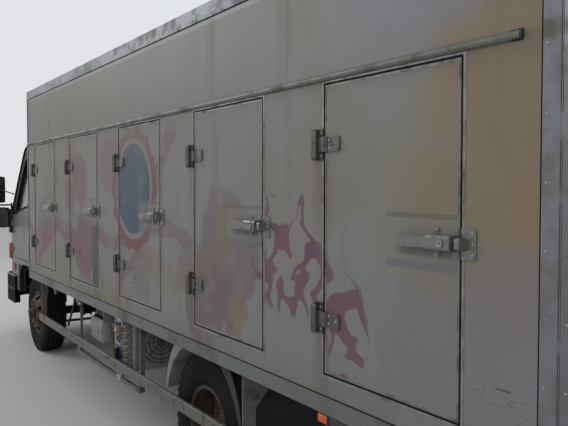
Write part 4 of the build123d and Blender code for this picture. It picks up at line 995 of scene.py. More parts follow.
# %% Spin the tyres
axle_z = 0.392
front_x, rear_x = 2.46, -1.57
front_wheel = Vector((front_x, 0.85, axle_z))
twin_y, twin_apart = 0.795, 0.125
lug_count = 46
half_profile = [
    # radius, distance from the tyre's middle
    (0.2135, 0.083), (0.224, 0.0915), (0.240, 0.0965), (0.243, 0.0985), (0.262, 0.1035), (0.292, 0.1063),
    (0.300, 0.1068), (0.303, 0.1058), (0.330, 0.1060), (0.333, 0.1068), (0.345, 0.1050), (0.362, 0.1010),
    (0.374, 0.0955), (0.381, 0.0900), (0.3865, 0.0825), (0.3885, 0.0640), (0.3790, 0.0620), (0.3790, 0.0545),
    (0.3890, 0.0525), (0.3905, 0.0250), (0.3805, 0.0230), (0.3805, 0.0150), (0.3912, 0.0130),
]


def tyre(centre):
    """One carcass with both its rows of shoulder lugs."""
    profile = half_profile + [(radius, -along) for radius, along in reversed(half_profile)]
    carcass = turned(profile, centre, "Y", 72, close=True)
    lug = block((-0.0105, 0.077, 0.378), (0.0105, 0.1005, 0.3905), 0.0025, 1)
    slope = {"value": radians(18), "orient_axis": "X", "center_override": (0, 0.077, 0.3905)}
    edit_all(lug, (bpy.ops.transform.rotate, slope))
    lift = max(vertex.co.z for vertex in lug.data.vertices) - 0.3895
    lug.data.transform(Matrix.Translation((0, 0, -lift)))
    places = []
    for side in (1, -1):
        for step in range(lug_count):
            spin = Matrix.Rotation(2 * pi * (step + 0.25 * side) / lug_count, 4, "Y")
            places.append(Matrix.Translation(centre) @ spin @ Matrix.Scale(side, 4, (0, 1, 0)))
    return join([carcass, edit_all(repeat(lug, places), outward)])


def tyres_both(piece, name, body, node):
    """Settles a left tyre and its twin, which stand for the CAD tyres."""
    twin = mirrored(piece)
    for side, ring_piece in (("left", piece), ("right", twin)):
        settle(ring_piece, f"{side}_{name}", tyre_rubber, body.replace("*", side), slot="rubber_tyre",
               angle=30)
        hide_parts(node.replace("*", side))


tyres_both(tyre(front_wheel), "treaded_front_tyre", "*_front_wheel", "*_front_tyre")
twin_places = [Vector((rear_x, twin_y + turn * twin_apart, axle_z)) for turn in (-1, 1)]
tyres_both(join([tyre(place) for place in twin_places]), "treaded_twin_tyres", "*_rear_wheels",
           "*_rear_tyres")
print("tyres", 6, "lugs", 6 * 2 * lug_count)

# %% Nuts, hub caps and valves
nut_count = 6


def nut(radius, height):
    """A wheel nut on its washer, with the stud's end in it, pointing along +Y."""
    washer = turned([(0, 0), (radius * 1.35, 0), (radius * 1.25, 0.004), (0, 0.004)], (0, 0, 0), "Y", 16)
    body = turned([(radius, 0.004), (radius, height * 0.85), (radius * 0.82, height),
                   (radius * 0.45, height)], (0, 0, 0), "Y", 6)
    stud = turned([(radius * 0.5, height - 0.002), (radius * 0.5, height + 0.005),
                   (radius * 0.35, height + 0.008), (0, height + 0.008)], (0, 0, 0), "Y", 10)
    return join([washer, body, stud])


def nut_circle(centre, face_y, circle):
    """Wheel nuts in a circle on a wheel's disc."""
    places = []
    for step in range(nut_count):
        turn = 2 * pi * (step + 0.5) / nut_count
        places.append((centre.x + circle * cos(turn), face_y, centre.z + circle * sin(turn)))
    return repeat(nut(0.0145, 0.026), places)


front_disc = front_wheel.y + 0.125
settle_both(nut_circle(front_wheel, front_disc - 0.0005, 0.108), "front_wheel_nuts", rim_steel,
            "*_front_wheel")
front_cap = turned([(0, 0.036), (0.020, 0.0355), (0.034, 0.032), (0.041, 0.024), (0.043, 0.010),
                    (0.049, 0.006), (0.057, 0.004), (0.059, 0.0), (0, 0.0)],
                   (front_wheel.x, front_disc + 0.0195, front_wheel.z), "Y", 32)
settle_both(front_cap, "front_hub_caps", rusty_steel, "*_front_wheel")
valve_rows = [(0.150, -0.025), (0.152, 0.012), (0.170, 0.030)]
valve = tube([(front_wheel.x + x, front_disc + y, axle_z) for x, y in valve_rows], 0.0042)
settle_both(valve, "front_valves", black_rubber, "*_front_wheel")
twin_middle = Vector((rear_x, twin_y, axle_z))
settle_both(nut_circle(twin_middle, twin_y - 0.0005 + 0.012, 0.112), "rear_wheel_nuts", rim_steel,
            "*_rear_wheels")
axle_flange = turned([(0, 0.030), (0.040, 0.030), (0.050, 0.024), (0.058, 0.014), (0.074, 0.012),
                      (0.077, 0.0), (0, 0.0)], (rear_x, 0.9045, axle_z), "Y", 36)
flange_bolts = [(rear_x + 0.066 * cos(pi * step / 4), 0.916, axle_z + 0.066 * sin(pi * step / 4))
                for step in range(8)]
settle_both([axle_flange, repeat(nut(0.0075, 0.012), flange_bolts)], "axle_flanges", rusty_steel,
            "*_rear_wheels")
valve_rows = [(-0.186, 0.90), (-0.178, 0.93), (-0.165, 0.975)]
rear_valve = tube([(rear_x + x, y, axle_z) for x, y in valve_rows], 0.0042)
settle_both(rear_valve, "rear_valves", black_rubber, "*_rear_wheels")

# %% Gutter rings that lock the tyres on
gutter = [(0.2065, 0.0), (0.2145, 0.001), (0.2165, 0.006), (0.2150, 0.0105), (0.2080, 0.0115),
          (0.2050, 0.006)]
front_ring = turned(gutter, (front_wheel.x, front_wheel.y + 0.0790, axle_z), "Y", 64, close=True)
rear_ring = turned(gutter, (rear_x, twin_y + twin_apart + 0.0790, axle_z), "Y", 64, close=True)
settle_both(front_ring, "front_gutter_rings", rim_steel, "*_front_wheel")
settle_both(rear_ring, "rear_gutter_rings", rim_steel, "*_rear_wheels")
print("wheels fitted out")

# %% [markdown]
# ## What hangs under the floor
# Behind the side guard hang a switch cabinet, a small meter, a condenser coil and its
# compressor. Their cases come from the CAD model. Here they get what a refrigeration fitter
# would add: a pressed door, relays and cables, a window, coil fins with U-bends, a terminal
# cover and pipes.

# %% Dress the switch cabinet


def pressed_panel(low, high, rise, axis=1, sink=0.012):
    """A door panel with a raised field, as a press makes it, standing out along one axis."""
    piece = block(low, high, 0.0015, 1)
    choose(piece)
    bpy.ops.object.mode_set(mode="EDIT")
    bpy.ops.mesh.select_all(action="DESELECT")
    bpy.ops.mesh.select_mode(type="FACE")
    bpy.ops.object.mode_set(mode="OBJECT")
    facing = Vector((0, 0, 0))
    facing[axis] = 1 if rise > 0 else -1
    for face in piece.data.polygons:
        face.select = face.normal.dot(facing) > 0.95 and face.area > 0.0005
    bpy.ops.object.mode_set(mode="EDIT")
    bpy.ops.mesh.inset(thickness=sink, depth=0)
    bpy.ops.mesh.inset(thickness=0.004, depth=abs(rise))
    bpy.ops.object.mode_set(mode="OBJECT")
    return piece


door_panel = pressed_panel((0.186, 0.9995, 0.512), (0.464, 1.0045, 0.669), 0.003)
door_hinge = repeat(turned([(0, 0), (0.005, 0), (0.005, 0.03), (0, 0.03)], (0, 0, 0), "Z", 10),
                    [(0.466, 1.003, 0.53), (0.466, 1.003, 0.62)])
door_catch = turned([(0, 0.006), (0.008, 0.006), (0.010, 0.004), (0.011, 0)], (0.205, 1.0045, 0.59), "Y",
                    16)
settle_both([door_panel, door_hinge, door_catch], "cabinet_doors", enamel)
rear_lip = pressed_panel((0.1690, 0.930, 0.515), (0.1745, 0.996, 0.665), -0.002, 0, 0.008)
settle_both(rear_lip, "cabinet_backs", pale_paint, slot="grey_paint")
relay = join([block((-0.014, -0.030, 0), (0.014, 0.030, 0.034), 0.002, 1),
              block((-0.010, -0.024, 0.034), (0.010, 0.010, 0.040), 0.0015, 1),
              block((-0.004, 0.014, 0.032), (0.004, 0.024, 0.042), 0.001, 1)])
relay_spots = [(0.245 + 0.034 * step, 0.942, 0.745) for step in range(5)]
settle_both(repeat(relay, relay_spots), "relays", black_plastic)
gland = turned([(0, 0), (0.011, 0), (0.011, 0.010), (0.008, 0.016), (0.005, 0.018)], (0, 0, 0), "Z", 12)
gland_spots = [(0.21 + 0.05 * step, 0.985, 0.676) for step in range(5)]
cable_rows = [tube([(x, 0.985, 0.690), (x + 0.005, 0.988, 0.72), (x - 0.02, 0.975, 0.775),
                    (x - 0.03, 0.94, 0.800)], 0.0045) for x, _, _ in gland_spots]
settle_both([repeat(gland, gland_spots)] + cable_rows, "cabinet_cables", black_rubber)
print("cabinet dressed")

# %% Give the meter its window and its pipe loop
meter_ring = block((-0.222, 1.0295, 0.657), (-0.118, 1.0335, 0.703), 0.003)
window = block((-0.214, 1.0325, 0.663), (-0.150, 1.0350, 0.697), 0.0015)
settle_both(meter_ring, "meter_bezels", black_plastic)
settle_both(window, "meter_windows", yellow_lens)
meter_knob = turned([(0, 0.010), (0.007, 0.010), (0.009, 0.008), (0.010, 0)], (-0.132, 1.033, 0.680), "Y",
                    18)
settle_both(meter_knob, "meter_knobs", black_plastic)
loop_points = [(-0.13, 0.99, 0.652), (-0.11, 0.995, 0.625), (-0.085, 1.0, 0.600), (-0.11, 1.0, 0.572),
               (-0.17, 1.0, 0.566), (-0.215, 0.995, 0.590), (-0.21, 0.985, 0.625), (-0.20, 0.98, 0.652)]
settle_both(tube(loop_points, 0.0065, 10), "meter_pipes", pale_hose)

# %% Fill the condenser with fins and U-bends
coil_low = Vector((-0.489, 0.64, 0.446))
fin = block((-0.0004, 0, 0), (0.0004, 0.05, 0.33), 0.0001, 1)
fin.data.transform(Matrix.Rotation(pi / 2, 4, "Z"))
fin_spots = [(coil_low.x + 0.004 + 0.05, coil_low.y + 0.010 + 0.0062 * step, coil_low.z + 0.017)
             for step in range(55)]
settle_both(repeat(fin, fin_spots), "condenser_fins", coil_fins)


def u_bend(radius, bend):
    """A half ring of pipe with two short legs, standing out along +Y."""
    points = [(-bend, 0, 0), (-bend, 0.012, 0), (-bend, 0.024, 0), (0, 0.033, 0), (bend, 0.024, 0),
              (bend, 0.012, 0), (bend, 0, 0)]
    return tube(points, radius)


bends = []
upright = Matrix.Rotation(pi / 2, 4, "Y")
for column, x in enumerate((-0.440, -0.395, -0.350, -0.308)):
    for row in range(7):
        bends.append(Matrix.Translation((x, 0.9995, 0.480 + 0.045 * row + 0.011 * (column % 2))) @ upright)
settle_both(repeat(u_bend(0.0052, 0.0125), bends), "condenser_bends", dull_pipe)
frame_rows = [((-0.492, 0.999, 0.444), (-0.263, 1.004, 0.456)),
              ((-0.492, 0.999, 0.798), (-0.263, 1.004, 0.811)),
              ((-0.492, 0.999, 0.456), (-0.480, 1.004, 0.798)),
              ((-0.275, 0.999, 0.456), (-0.263, 1.004, 0.798))]
settle_both([block(low, high, 0.001, 1) for low, high in frame_rows], "condenser_frames", enamel)
fan_rings = [turned([(radius, 0), (radius + 0.004, 0.002), (radius, 0.004)], (-0.494, 0.82, 0.628), "X",
                    40, close=True) for radius in (0.03, 0.06, 0.09, 0.12, 0.145)]
fan_bar = block((-0.0012, -0.147, -0.002), (0.0012, 0.147, 0.002), 0.0005, 1)
spin_rows = [Matrix.Translation((-0.4905, 0.82, 0.628)) @ Matrix.Rotation(radians(angle), 4, "X")
             for angle in (0, 45, 90, 135)]
settle_both(fan_rings + [repeat(fan_bar, spin_rows)], "fan_guards", black_plastic)
print("condenser bends", 2 * len(bends), "fins", 2 * len(fin_spots))

# %% Finish the compressor
pot = Vector((0.005, 0.87, 0.403))
seam = turned([(0.0845, -0.004), (0.0905, -0.003), (0.0905, 0.003), (0.0845, 0.004)],
              (pot.x, pot.y, 0.468), "Z", 48, close=True)
foot = turned([(0, 0), (0.013, 0), (0.015, 0.006), (0.011, 0.010), (0, 0.014)], (0, 0, 0), "Z", 14)
foot_spots = [(pot.x + x, pot.y + y, pot.z) for x in (-0.072, 0.072) for y in (-0.082, 0.082)]
settle_both([seam, repeat(foot, foot_spots)], "compressor_seams", pump_blue)
jacket = turned([(0.0855, 0.004), (0.0865, 0.004), (0.0868, 0.085), (0.082, 0.108), (0.066, 0.124),
                 (0.045, 0.1315), (0, 0.1325), (0, 0.131), (0.045, 0.1302), (0.066, 0.1225),
                 (0.0815, 0.107), (0.0855, 0.085)], (pot.x, pot.y, pot.z), "Z", 48, close=True)
settle_both(jacket, "compressor_jackets", pump_blue)
terminal = pressed_panel((pot.x - 0.028, 0.950, 0.425), (pot.x + 0.028, 0.978, 0.505), 0.002, 1, 0.008)
settle_both(terminal, "terminal_covers", black_plastic)
pipe_out = [(0.03, 0.85, 0.53), (0.03, 0.85, 0.60), (0.02, 0.86, 0.66), (-0.10, 0.87, 0.68),
            (-0.22, 0.90, 0.66), (-0.268, 0.90, 0.66)]
pipe_back = [(-0.02, 0.90, 0.53), (-0.02, 0.905, 0.58), (-0.05, 0.91, 0.60), (-0.14, 0.90, 0.60),
             (-0.23, 0.88, 0.58), (-0.268, 0.88, 0.56)]
settle_both([tube(points, 0.006, 10) for points in (pipe_out, pipe_back)], "compressor_pipes", dull_pipe)
knob = turned([(0, 0.030), (0.012, 0.029), (0.017, 0.024), (0.018, 0.006), (0.012, 0.003), (0.011, 0)],
              (-0.375, 1.0035, 0.458), "Y", 24)
settle_both(knob, "drain_knobs", pump_blue)

# %% Add the small things along the sill
strut = tube([(0.97, 0.985, 0.795), (0.97, 0.985, 0.74), (0.985, 0.985, 0.70), (1.10, 0.985, 0.565),
              (1.165, 0.985, 0.492)], 0.009, 10)
tip = turned([(0, -0.012), (0.010, -0.010), (0.014, 0), (0.010, 0.010), (0, 0.012)],
             (1.175, 0.985, 0.482), "Y", 16)
settle_both(strut, "guard_struts", rusty_steel, slot="chassis_paint")
settle_both(tip, "strut_tips", enamel)
clips = []
for x in (1.31, 0.63, -0.39):
    clips.append(block((x - 0.022, 1.060, 0.762), (x + 0.022, 1.066, 0.800), 0.003))
    clips.append(block((x - 0.022, 1.040, 0.762), (x + 0.022, 1.066, 0.768)))
    clips.append(block((x - 0.010, 1.050, 0.735), (x + 0.010, 1.062, 0.765), 0.003))
settle_both(clips, "sill_clips", enamel)
marker_base = block((-2.775, 1.089, 0.758), (-2.705, 1.0945, 0.800), 0.003)
marker_lens = block((-2.768, 1.093, 0.764), (-2.712, 1.103, 0.795), 0.005, 3)
settle_both(marker_base, "side_marker_bases", black_plastic)
settle_both(marker_lens, "side_markers", orange_lens)
flap = block((-2.0245, 0.568, 0.208), (-2.0085, 1.038, 0.405), 0.003)
flap_strip = block((-2.028, 0.575, 0.372), (-2.0245, 1.030, 0.395), 0.001, 1)
flap_turn = Matrix.Rotation(pi / 2, 4, "Z")
bolt_spots = [Matrix.Translation((-2.028, y, 0.3835)) @ flap_turn for y in (0.60, 0.70, 0.80, 0.90, 1.00)]
flap_bolts = repeat(screw(0.008, 0.005), bolt_spots)
settle_both(flap, "rear_flaps", black_rubber)
settle_both([flap_strip, flap_bolts], "flap_strips", zinc, slot="grey_paint")
print("sill details added")

# %% [markdown]
# ## Springs, rails and axles
# From behind and below, the chassis shows. U-bolts clamp each spring to its axle, shock
# absorbers stand beside them, and rows of rivets run along the rails.

# %% Clamp the springs
clamp_rows = [
    # axle x, top of the main leaf, lowest z of the bolts, half span of the bolts along x
    (front_x, 0.473, 0.326, 0.053),
    (rear_x, 0.493, 0.318, 0.063),
]
bolts, plates = [], []
for x, top, low, half in clamp_rows:
    for end in (x - half, x + half):
        hoop = [(end, 0.4075, low), (end, 0.4075, (low + top) / 2), (end, 0.4075, top + 0.006),
                (end, 0.412, top + 0.0175), (end, 0.445, top + 0.0185), (end, 0.478, top + 0.0175),
                (end, 0.4825, top + 0.006), (end, 0.4825, (low + top) / 2), (end, 0.4825, low)]
        bolts.append(tube(hoop, 0.0065))
        for y in (0.4075, 0.4825):
            bolts.append(turned([(0.0065, 0), (0.012, 0.001), (0.012, 0.010), (0.0065, 0.011)],
                                (end, y, low + 0.004), "Z", 6))
    plates.append(block((x - half - 0.02, 0.400, low + 0.015), (x + half + 0.02, 0.490, low + 0.027),
                        0.003))
    plates.append(block((x - half + 0.008, 0.416, top), (x + half - 0.008, 0.474, top + 0.012), 0.003))
settle_both(bolts, "spring_bolts", rusty_steel)
settle_both(plates, "spring_plates", rusty_steel)
clips = []
leaf_radius = 1.5
for x, top, half in ((front_x, 0.473, 0.30), (rear_x, 0.493, 0.33)):
    for end in (x - half, x + half):
        lift = half * half / 2 / leaf_radius
        clips.append(block((end - 0.012, 0.411, top - 0.034 + lift),
                           (end + 0.012, 0.479, top + 0.006 + lift), 0.002, 1))
settle_both(clips, "leaf_clips", rusty_steel)

# %% Stand up the shock absorbers
shocks = []
for x, foot in ((front_x + 0.115, 0.372), (rear_x - 0.125, 0.370)):
    shocks.append(turned([(0, 0), (0.014, 0), (0.016, 0.02), (0.026, 0.028), (0.027, 0.15), (0, 0.152)],
                         (x, 0.515, foot), "Z", 24))
    shocks.append(turned([(0, 0), (0.033, 0), (0.034, 0.13), (0.018, 0.145), (0.014, 0.165), (0, 0.166)],
                         (x, 0.515, foot + 0.13), "Z", 24))
    shocks.append(block((x - 0.022, 0.398, foot + 0.262), (x + 0.022, 0.535, foot + 0.302), 0.004))
    shocks.append(block((x - 0.06, 0.475, foot - 0.008), (x + 0.02, 0.535, foot + 0.008), 0.003))
settle_both(shocks, "shock_absorbers", chassis_paint)

# %% Rivet the rails
rivet_spots = []
for x in [-3.60 + 0.15 * step for step in range(48)]:
    if min(abs(x - front_x), abs(x - rear_x)) > 0.72:
        rivet_spots += [(x, 0.4, 0.590), (x, 0.4, 0.715)]
settle_both(repeat(rivet(0.011, 0.006), rivet_spots), "rail_rivets", chassis_paint)
print("rail rivets", 2 * len(rivet_spots))

# %% Clamp the lower guard rail
saddle = [block((-0.425, 1.056, 0.372), (-0.355, 1.090, 0.414), 0.006),
          block((-0.420, 1.060, 0.405), (-0.404, 1.084, 0.440), 0.003, 1),
          block((-0.376, 1.060, 0.405), (-0.360, 1.084, 0.440), 0.003, 1)]
hook = tube([(0.530, 1.072, 0.440), (0.545, 1.074, 0.415), (0.570, 1.075, 0.395), (0.545, 1.074, 0.378),
             (0.500, 1.072, 0.384)], 0.011)
settle_both(saddle + [hook], "guard_clamps", pale_paint)

# %% Cover the condenser's end with expanded metal
clear_choice()
bpy.ops.mesh.primitive_grid_add(x_subdivisions=7, y_subdivisions=22, size=1)
screen_mesh = bpy.context.object
screen_mesh.data.transform(Matrix.Translation((-0.414, 1.010, 0.628)) @ Matrix.Rotation(pi / 2, 4, "X")
                           @ Matrix.Diagonal((0.140, 0.372, 1, 1)))
diamonds = {"face_threshold": radians(10), "shape_threshold": radians(180)}
edit_all(screen_mesh, (bpy.ops.mesh.poke, {}), (bpy.ops.mesh.tris_convert_to_quads, diamonds))
modify(screen_mesh, "WIREFRAME", thickness=0.0032, use_even_offset=False)
cover_frame = [block((-0.489, 1.002, z), (-0.340, 1.013, z + 0.014), 0.002, 1) for z in (0.436, 0.806)]
cover_frame += [block((x, 1.002, 0.436), (x + 0.012, 1.013, 0.820), 0.002, 1) for x in (-0.492, -0.350)]
cover_frame.append(block((-0.338, 1.001, 0.436), (-0.262, 1.008, 0.820), 0.003))
settle_both(screen_mesh, "condenser_mesh", enamel)
settle_both(cover_frame, "condenser_frames", pale_paint, slot="grey_paint")
print("condenser covered")

# %% [markdown]
# ## The cab's outside
# The cab's skin is one CAD shell. On a real cab the glass sits in black rubber, the lamps have
# bezels and flutes, and the mirrors, wipers, handles and gutter are bolted on. The windscreen
# leans back and its corners are round, so a small function gives the skin's place for any
# height and any distance from the middle, and the gaskets, wipers and gutter are laid along it.

# %% Describe the cab's skin
cab_rear, cab_nose, crease_z, belt_z = 2.22, 3.73, 1.36, 1.38
rake = 0.56 / 0.78
corner_x, corner_y, corner_r = 3.3401, 0.62, 0.38


def plan_x(y):
    """How far forward the skin reaches below the windscreen, at a distance from the middle."""
    y = abs(y)
    if y < 0.64:
        return cab_nose - max(y - 0.45, 0) * 0.0546
    return corner_x + max(corner_r ** 2 - (y - corner_y) ** 2, 0) ** 0.5


def skin_front(y, z, proud=0.0):
    """A point on the nose or the windscreen."""
    x = plan_x(y) if z < crease_z else min(plan_x(y), cab_nose - 0.02) - rake * (z - crease_z)
    return (x + proud * 0.81, y, z + (proud * 0.58 if z > crease_z else 0))


def skin_side(x, z, proud=0.0):
    """A point on the cab's left side."""
    return (x, 1.0 - max(z - belt_z - 0.02, 0) * 0.1335 + proud, z)


def along(corners, count=6, round_by=0.25):
    """Points along a closed outline, close together near its corners."""
    points = []
    for first, second in zip(corners, corners[1:] + corners[:1]):
        first, second = Vector(first), Vector(second)
        points += [first.lerp(second, round_by + (1 - 2 * round_by) * step / (count - 1))
                   for step in range(count)]
    return points


def band(points, low_z, high_z, thick):
    """An upright strip that follows points in plan."""
    clear_choice()
    curve = bpy.data.curves.new("band", "CURVE")
    curve.dimensions = "3D"
    curve.extrude = (high_z - low_z) / 2
    line = curve.splines.new("POLY")
    line.points.add(len(points) - 1)
    for place, (x, y) in zip(line.points, points):
        place.co = (x, y, (low_z + high_z) / 2, 1)
    strip = bpy.data.objects.new("band", curve)
    bpy.context.scene.collection.objects.link(strip)
    choose(strip)
    bpy.ops.object.convert(target="MESH")
    strip = bpy.context.object
    modify(strip, "SOLIDIFY", thickness=thick, offset=0)
    edit_all(strip, outward)
    return soften(strip, min(thick, high_z - low_z) * 0.2, 2)


# %% Lay the gaskets
window = [(2.40, 1.505), (2.95, 1.430), (3.155, 1.372), (2.965, 1.985), (2.40, 2.005)]
loop = [skin_side(point.x, point.y, 0.0) for point in along(window, 5, 0.12)]
gasket = tube(loop + loop[:2], 0.0085)
settle_both(gasket, "door_window_gaskets", black_rubber, "*_cab_door")
screen = [(-0.89, 1.39), (0.89, 1.39), (0.80, 2.07), (-0.80, 2.07)]
loop = [skin_front(point.x, point.y, 0.001) for point in along(screen, 15, 0.06)]
settle(tube(loop + loop[:2], 0.010), "windscreen_gasket", black_rubber)
rear_window = [(-0.52, 1.56), (0.52, 1.56), (0.52, 1.98), (-0.52, 1.98)]
loop = [(cab_rear - 0.001, point.x, point.y) for point in along(rear_window, 5, 0.1)]
settle(tube(loop + loop[:2], 0.010), "rear_window_gasket", black_rubber)
gutter_rows = [(2.25, 2.118), (2.6, 2.122), (2.9, 2.118), (3.04, 2.105), (3.10, 2.04), (3.28, 1.55),
               (3.325, 1.42)]
gutter_line = [skin_side(x, z, 0.004) for x, z in gutter_rows]
settle_both(tube(gutter_line, 0.007), "roof_gutters", black_rubber, slot="cab_paint")
print("gaskets laid")

# %% Fit the lamps and the grille


def corner_band(radius, thick, low_z, high_z, first, last):
    """A strip round the cab's front corner, between two angles."""
    points = []
    parts = 14
    for step in range(parts + 1):
        angle = radians(first + (last - first) * step / parts)
        points.append((corner_x + radius * cos(angle), corner_y + radius * sin(angle)))
    return band(points, low_z, high_z, thick)


settle_both(corner_band(0.394, 0.032, 0.876, 1.044, 34, 80), "corner_lamps", orange_lens)
settle_both(corner_band(0.3835, 0.010, 0.868, 1.052, 20, 88), "corner_lamp_rims", black_plastic)
marker_tray = block((3.165, 0.9985, 0.760), (3.345, 1.0035, 0.836), 0.004)
marker_glass = block((3.172, 1.002, 0.767), (3.338, 1.011, 0.829), 0.005, 3)
settle_both(marker_tray, "fender_marker_trays", black_plastic)
settle_both(marker_glass, "fender_markers", red_lens)
lamp_centre = (plan_x(0.70), 0.70, 0.960)
reflector = turned([(0, -0.004), (0.030, 0.0), (0.058, 0.006), (0.070, 0.012), (0.074, 0.012),
                    (0.074, 0.002), (0, -0.006)], lamp_centre, "X", 40, close=True)
bulb = turned([(0, 0.014), (0.010, 0.013), (0.014, 0.006), (0.016, -0.002)], lamp_centre, "X", 20)
settle_both([reflector, bulb], "headlamp_reflectors", mirror_metal, slot="lamp")
bezel = turned([(0.072, -0.004), (0.072, 0.014), (0.078, 0.017), (0.084, 0.012), (0.086, -0.004)],
               lamp_centre, "X", 44, close=True)
settle_both(bezel, "headlamp_bezels", black_plastic)
lens = turned([(0, 0.020), (0.035, 0.0185), (0.060, 0.0155), (0.0725, 0.0125), (0.0725, 0.0105),
               (0.060, 0.0135), (0.035, 0.0165), (0, 0.018)], lamp_centre, "X", 40)
settle_both(lens, "headlamp_lenses", clear_lens)
slats = [block((3.722, -0.54, z), (3.737, 0.54, z + 0.012), 0.003)
         for z in (0.885, 0.912, 0.939, 0.966, 0.993, 1.020)]
slats += [block((3.722, y - 0.005, 0.880), (3.734, y + 0.005, 1.040), 0.002, 1)
          for y in (-0.36, -0.18, 0.0, 0.18, 0.36)]
settle(slats, "grille_slats", black_plastic)
settle(block((3.718, -0.56, 0.872), (3.728, 0.56, 1.048), 0.004), "grille_back", black_rubber)
press_line = band([(plan_x(0.95 - 0.05 * step) + 0.0005, 0.95 - 0.05 * step) for step in range(39)],
                  1.150, 1.160, 0.004)
settle(press_line, "nose_press_line", cab_paint)
print("lamps and grille in place")

# %% Dress the bumper


def bumper_points(proud):
    """The bumper's outline in plan, from its left end round the nose to its right end."""
    half, nose, corner, last_x = 1.025, 3.78, 0.28, 3.14
    centre_x, centre_y = nose - 0.03 + 0.008 - corner, half - corner
    left = [(last_x, half + proud), (centre_x, half + proud)]
    for step in range(1, 12):
        angle = radians(90 - 86.5 * step / 12)
        left.append((centre_x + (corner + proud) * cos(angle), centre_y + (corner + proud) * sin(angle)))
    left.append((nose - 0.0175 + proud, 0.77))
    left.append((nose + proud, 0.45))
    return left + [(x, -y) for x, y in reversed(left)]


settle(band(bumper_points(-0.006), 0.6935, 0.7025, 0.016), "bumper_lip", pale_paint)
settle(band(bumper_points(-0.0005), 0.545, 0.560, 0.006), "bumper_rib", black_plastic)
settle(band(bumper_points(-0.003), 0.400, 0.412, 0.012), "bumper_foot", black_plastic)
plate = pressed_panel((3.7795, -0.26, 0.570), (3.7830, 0.26, 0.682), 0.001, 0, 0.006)
settle(plate, "front_plate", pale_paint)
fog_centre = (3.768, 0.62, 0.475)
fog = turned([(0, 0.004), (0.030, 0.003), (0.044, -0.002), (0.052, -0.001), (0.058, 0.004),
              (0.063, 0.003), (0.065, -0.012), (0, -0.012)], fog_centre, "X", 32)
settle_both(fog, "fog_lamps", clear_lens)
tow_pin = turned([(0, 0.058), (0.012, 0.056), (0.014, 0.050), (0.014, -0.050), (0.010, -0.056),
                  (0, -0.057)], (3.725, 0.3675, 0.33), "Y", 18)
settle_both(tow_pin, "tow_pins", rusty_steel)
print("bumper dressed")

# %% Glaze the mirrors and mount the rest
for low_y, high_y, low_z, high_z in ((1.087, 1.253, 1.512, 1.778), (1.047, 1.188, 1.237, 1.438)):
    part = "upper" if low_z > 1.4 else "lower"
    mirror_glass = block((3.3115, low_y, low_z), (3.3155, high_y, high_z), 0.0015, 1)
    rim = ring(high_y - low_y + 0.016, high_z - low_z + 0.016, 0.009, 0.005, 0, low_z - 0.008, 0)
    rim.data.transform(Matrix.Translation((3.3105, high_y + 0.008, 0)) @ Matrix.Rotation(pi / 2, 4, "Z"))
    settle_both(mirror_glass, f"{part}_mirror_glass", mirror_face)
    settle_both(rim, f"{part}_mirror_rims", black_rubber)
stay = tube([(3.12, 0.985, 1.588), (3.20, 1.02, 1.60), (3.30, 1.12, 1.645), (3.338, 1.150, 1.660)], 0.006)
settle_both(stay, "mirror_stays", rusty_steel)
handle_cup = pressed_panel((2.405, 0.9995, 1.215), (2.555, 1.0035, 1.285), -0.002, 1, 0.012)
lever = block((2.425, 1.004, 1.236), (2.535, 1.016, 1.262), 0.005, 3)
key = turned([(0, 0.005), (0.009, 0.005), (0.012, 0.003), (0.012, 0)], (2.385, 1.0, 1.25), "Y", 18)
settle_both([handle_cup, lever, key], "door_handles", black_plastic, "*_cab_door")
wipers = []
for y, lean in ((0.62, -0.50), (-0.18, -0.50)):
    pivot, elbow = skin_front(y, 1.372, 0.03), skin_front(y + lean * 0.5, 1.50, 0.035)
    wipers.append(tube([pivot, elbow, skin_front(y + lean, 1.585, 0.022)], 0.0055))
    wipers.append(tube([skin_front(y + lean - 0.02, 1.425, 0.012), skin_front(y + lean, 1.62, 0.012),
                        skin_front(y + lean + 0.03, 1.90, 0.012)], 0.006, 6))
    wipers.append(turned([(0, 0.012), (0.015, 0.010), (0.018, -0.035), (0, -0.036)], pivot, "X", 18))
settle(wipers, "wipers", black_plastic)
steps = [block((2.945, 0.800, 0.585), (3.105, 0.985, 0.603), 0.004)]
steps += [block((2.955 + 0.022 * rib, 0.805, 0.603), (2.962 + 0.022 * rib, 0.978, 0.608), 0.001, 1)
          for rib in range(7)]
steps += [block((2.950, 0.955, 0.600), (2.958, 0.985, 0.905), 0.002, 1),
          block((3.092, 0.955, 0.600), (3.100, 0.985, 0.905), 0.002, 1)]
settle_both(steps, "cab_steps", chassis_paint)
mirror_foot = slanted([(3.318, 1.165), (3.356, 1.165), (3.368, 1.430), (3.300, 1.430)], 0.9995, 1.034,
                      0.008)
settle_both(mirror_foot, "mirror_feet", black_plastic)
print("mirrors, handles, wipers and steps mounted")

# %% [markdown]
# ## Seats and the cab's inside
# A seat cushion is a crowned bag of foam: its faces swell and its sides pull in between the
# corners. Cloth simulation gives that shape. Each pad starts as a rounded block, is remeshed
# evenly, is blown up a little with gravity off, and is held back where it would swell too
# far. Its piping is laid on afterwards. The CAD seat stays in the motion model as it was.

# %% Blow up the pads
seat_x, floor_z = 2.40, 0.95
pad_voxel = 0.0065
cloth_frames = 20


